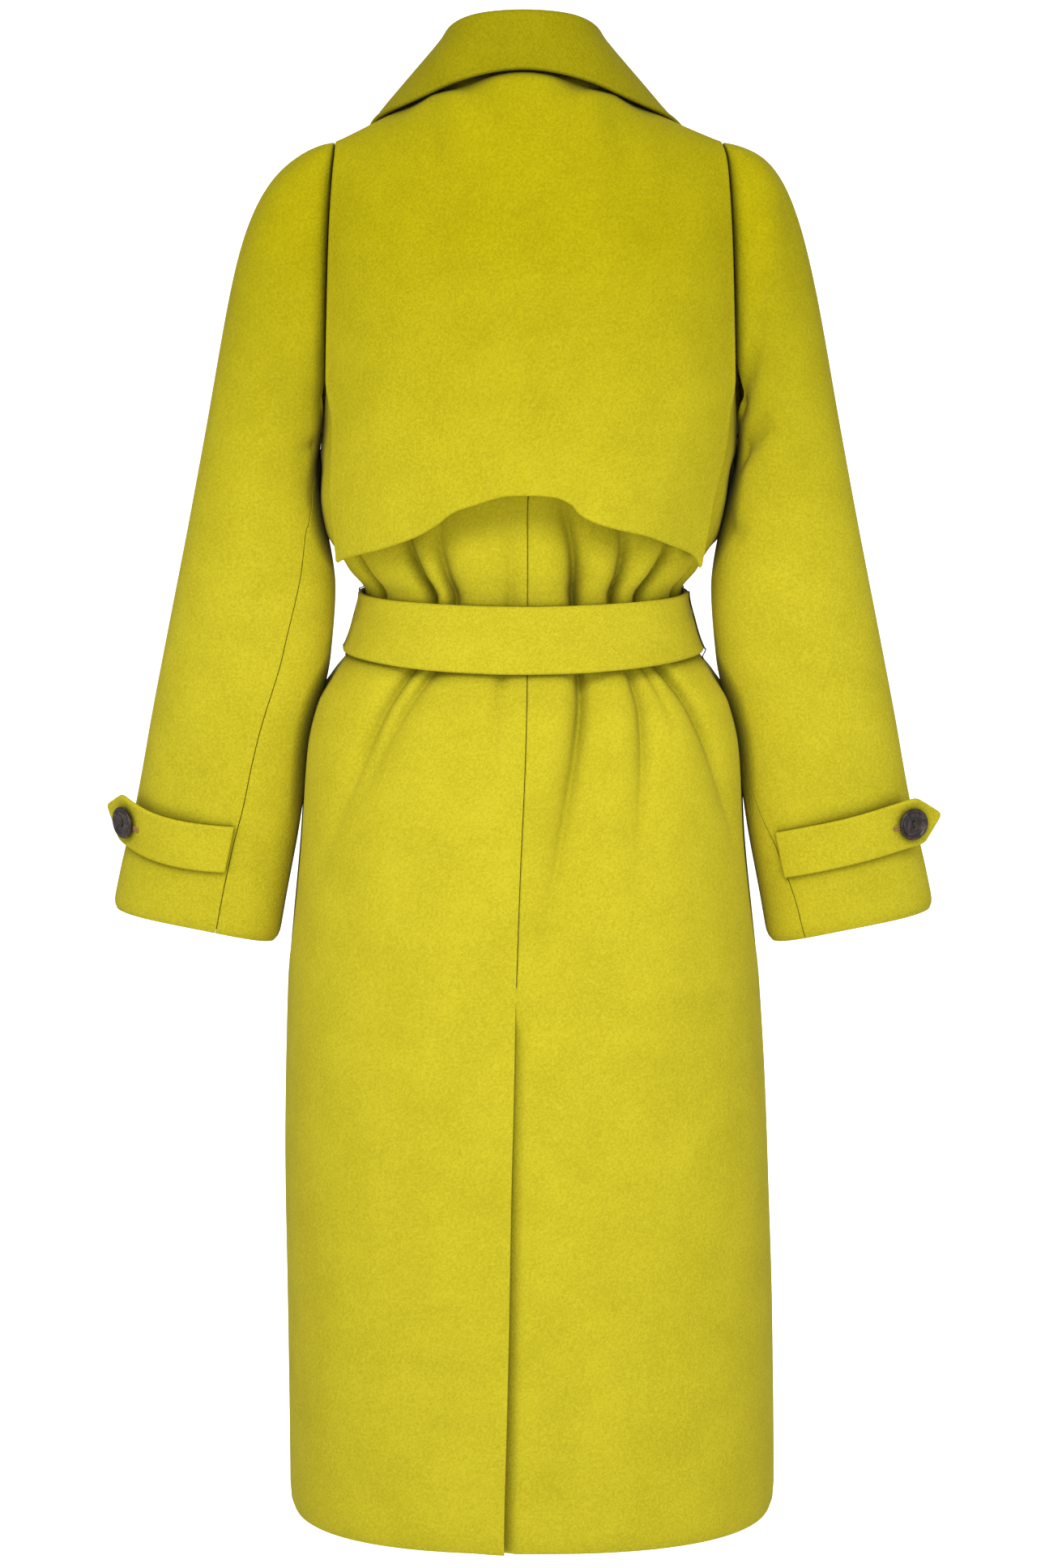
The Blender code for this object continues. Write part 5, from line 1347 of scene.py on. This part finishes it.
def knot_face(across, turn):
    wide, deep, tall = KNOT_SIZE[0] / 2, KNOT_SIZE[1] - KNOT_BACK + 0.0018, KNOT_SIZE[2] / 2
    dome = (1 - np.abs(across) ** 3.4) ** (1 / 2.2)
    up, out = np.sin(turn), np.cos(turn)
    x = wide * across * (0.90 + 0.10 * np.abs(up))
    y = along(TORSO, "front_depth", BELT_MIDDLE) + KNOT_BACK + deep * out**0.75 * dome
    z = tall * np.sign(up) * np.abs(up) ** 0.85 * (0.80 + 0.20 * dome)
    return np.stack([x, y, z + BELT_MIDDLE - MOUNT_HEIGHT], axis=-1)


def belt_knot():
    """The belt's end wrapped over the front of its half knot."""
    across, turn = np.meshgrid((2 * shares(46, 0.06, 0.0015) - 1) * 0.995,
                               (2 * shares(60, 0.08, 0.0015) - 1) * 1.54)
    outer = knot_face(across, turn)
    out = np.cross(np.gradient(outer, axis=1), np.gradient(outer, axis=0))
    out /= -np.linalg.norm(out, axis=-1, keepdims=True)
    press = np.zeros(across.shape)
    for row in each_row(KNOT_PLEATS):
        off = across - row["at"] - row["slope"] * np.sin(turn)
        press += row["depth"] * np.exp(-((off / row["wide"]) ** 2)) * np.cos(turn * 0.7)
    outer = outer - press[..., None] * out
    return cloth("coat_belt_knot", outer, 0.003, "belt_knot", flip=True)


def belt_tail(node, top_x, low_x, lift):
    """A free end of the belt, pinched where it leaves the knot."""
    top = BELT_MIDDLE - KNOT_SIZE[2] / 2 - BELT_TAIL_DROP
    share = shares(100, BELT_TAIL_LENGTH, BELT_CLOTH / 2)[:, None]
    wide = BELT_TAIL_TOP_WIDTH + (BELT_TAIL_WIDTH - BELT_TAIL_TOP_WIDTH) * ramp(share, 0.0, 0.3)
    across = shares(24, BELT_TAIL_WIDTH, BELT_CLOTH / 2)[None, :] - 0.5
    x = top_x + (low_x - top_x) * share + wide * across
    height = np.broadcast_to(top - BELT_TAIL_LENGTH * share, x.shape)
    pinch = 0.0012 * np.cos(across * 6 * math.pi) * (1 - ramp(share, 0.0, 0.35))
    raised = BELT_TAIL_CLEARANCE + lift + BELT_CLOTH - np.abs(pinch)
    outer = lifted(front_face, x, height, raised, flip=True)[0]
    return cloth("coat_" + node, outer, BELT_CLOTH, node, lips=(0, 0.1, 0.1, 0.1), flip=True)


def belt_loop(node, turn):
    """A twisted thread loop that lies on the belt beside the side seam, sewn in above and below it."""
    at = np.linspace(-0.10, 1.10, 130)
    on_belt = ramp(at, -0.08, -0.01) * (1 - ramp(at, 1.01, 1.08))
    lift = LOOP_IN + (BELT_GAP + BELT_CLOTH + LOOP_STANDOFF - LOOP_IN) * on_belt
    path, out = lifted(belt_face, np.full(at.shape, turn), at, lift)
    made = bmesh.new()
    for strand in range(3):
        angle = (2 * math.pi * (strand / 3 + at / 0.12))[:, None]
        beside = np.cross(out, np.array((0.0, 0.0, 1.0)))
        tube(made, path + LOOP_TWIST * (np.cos(angle) * out + np.sin(angle) * beside), LOOP_STRAND, 6)
    return place_piece("coat_" + node, mesh_from(made, "coat_" + node), DARK_THREAD, node)


# The whole coat.


def build():
    made = {
        "back_right": back_panel("back_right", 1),
        "back_left": back_panel("back_left", -1),
        "front_right": front_panel("front_right", 1),
        "front_left": front_panel("front_left", -1),
        "storm_flap": storm_flap(),
        "collar": collar(),
        "lapel_right": lapel("lapel_right", 1),
        "lapel_left": lapel("lapel_left", -1),
        "belt_band": belt_band(),
        "belt_knot": belt_knot(),
    }
    for name, side in SLEEVE_SIDES.items():
        for half in ("upper", "under"):
            made[f"sleeve_{name}_{half}"] = sleeve_piece(f"sleeve_{name}_{half}", side, half == "upper")
        made[f"cuff_strap_{name}"] = cuff_strap(f"cuff_strap_{name}", side)
        sleeve_tapes(f"sleeve_{name}", side)
        armhole_tape(f"sleeve_{name}", side)
        button(f"button_{name}", side)
        buttonhole(f"coat_buttonhole_{name}", side)
        belt_loop(f"belt_loop_{name}", LOOP_TURNS[name])
        made[f"belt_tail_{name}"] = belt_tail(f"belt_tail_{name}", *BELT_TAILS[name])
    back_tape()
    neck_facing()
    return made


# Stage, light and camera

BACKDROP_RADIUS = 40.0
FLOOR_HEIGHT = -1.42
CAMERA_PLACE = (-0.0006, -3.8, -0.02)
CAMERA_PITCH = 7.6
FIELD_OF_VIEW = 18.16
SENSOR = 24.0


def stage():
    """A white floor and dome that only the camera sees, so that they neither light nor shade the coat."""
    made = bmesh.new()
    bmesh.ops.create_uvsphere(made, u_segments=48, v_segments=24, radius=BACKDROP_RADIUS)
    for vertex in made.verts:
        vertex.co.z = max(vertex.co.z, FLOOR_HEIGHT)
    backdrop = bpy.data.objects.new("backdrop", mesh_from(made, "backdrop"))
    bpy.context.scene.collection.objects.link(backdrop)
    pale, _, shader, _ = nodes_of("pale_floor")
    shader.inputs["Base Color"].default_value = (0.94, 0.94, 0.94, 1.0)
    shader.inputs["Roughness"].default_value = 1.0
    shader.inputs["Specular IOR Level"].default_value = 0.0
    shader.inputs["Emission Color"].default_value = (1.0, 1.0, 1.0, 1.0)
    shader.inputs["Emission Strength"].default_value = 1.0
    backdrop.data.materials.append(pale)
    backdrop.visible_diffuse = backdrop.visible_glossy = backdrop.visible_shadow = False


def area_light(name, place, aim, size, power):
    light = bpy.data.lights.new(name, "AREA")
    light.shape, light.size, light.size_y = "RECTANGLE", *size
    light.energy = power
    lamp = bpy.data.objects.new(name, light)
    lamp.location = place
    lamp.rotation_euler = (Vector(aim) - Vector(place)).to_track_quat("-Z", "Y").to_euler()
    lamp.visible_camera = False
    bpy.context.scene.collection.objects.link(lamp)


# The dome's strength away from the dim way and along it.
WORLD_STRENGTHS = (0.80, 0.34)
DIM_WAY = (0.0, 0.80, 0.60)
# Name, place, aim, width and height, and power of each lamp.
LAMPS = (
    ("front", (0.15, -1.35, -0.46), (0.0, 0.0, -0.46), (1.2, 0.7), 3.9),
    ("top", (-0.35, -2.4, 1.5), (0.0, 0.0, -0.5), (1.8, 1.2), 42.0),
    ("far", (0.3, 3.6, 0.5), (0.0, 0.0, -0.55), (3.0, 3.0), 46.0),
)


def studio():
    """The soft dome, the lamps and the camera."""
    world = bpy.data.worlds.new("studio")
    bpy.context.scene.world = world
    world.use_nodes = True
    world.node_tree.nodes["Background"].inputs["Color"].default_value = (1.0, 1.0, 1.0, 1.0)
    tree = world.node_tree
    way, facing = tree.nodes.new("ShaderNodeTexCoord"), tree.nodes.new("ShaderNodeVectorMath")
    strength = tree.nodes.new("ShaderNodeMapRange")
    facing.operation = "DOT_PRODUCT"
    facing.inputs[1].default_value = DIM_WAY
    tree.links.new(way.outputs["Generated"], facing.inputs[0])
    tree.links.new(facing.outputs["Value"], strength.inputs["Value"])
    for name, value in zip(("From Min", "From Max", "To Min", "To Max"), (-1.0, 1.0, *WORLD_STRENGTHS)):
        strength.inputs[name].default_value = value
    tree.links.new(strength.outputs["Result"], tree.nodes["Background"].inputs["Strength"])
    for lamp in LAMPS:
        area_light(*lamp)
    lens = bpy.data.cameras.new("camera")
    lens.sensor_fit = "VERTICAL"
    lens.sensor_height = SENSOR
    lens.lens = SENSOR / 2 / math.tan(math.radians(FIELD_OF_VIEW / 2))
    view = bpy.data.objects.new("camera", lens)
    view.location = CAMERA_PLACE
    view.rotation_euler = (math.radians(90.0 - CAMERA_PITCH), 0.0, 0.0)
    bpy.context.scene.collection.objects.link(view)
    bpy.context.scene.camera = view
    bpy.context.scene.view_settings.view_transform = "Standard"
    bpy.context.scene.view_settings.look = "None"


studio()
stage()
coat = build()
bpy.context.view_layer.update()
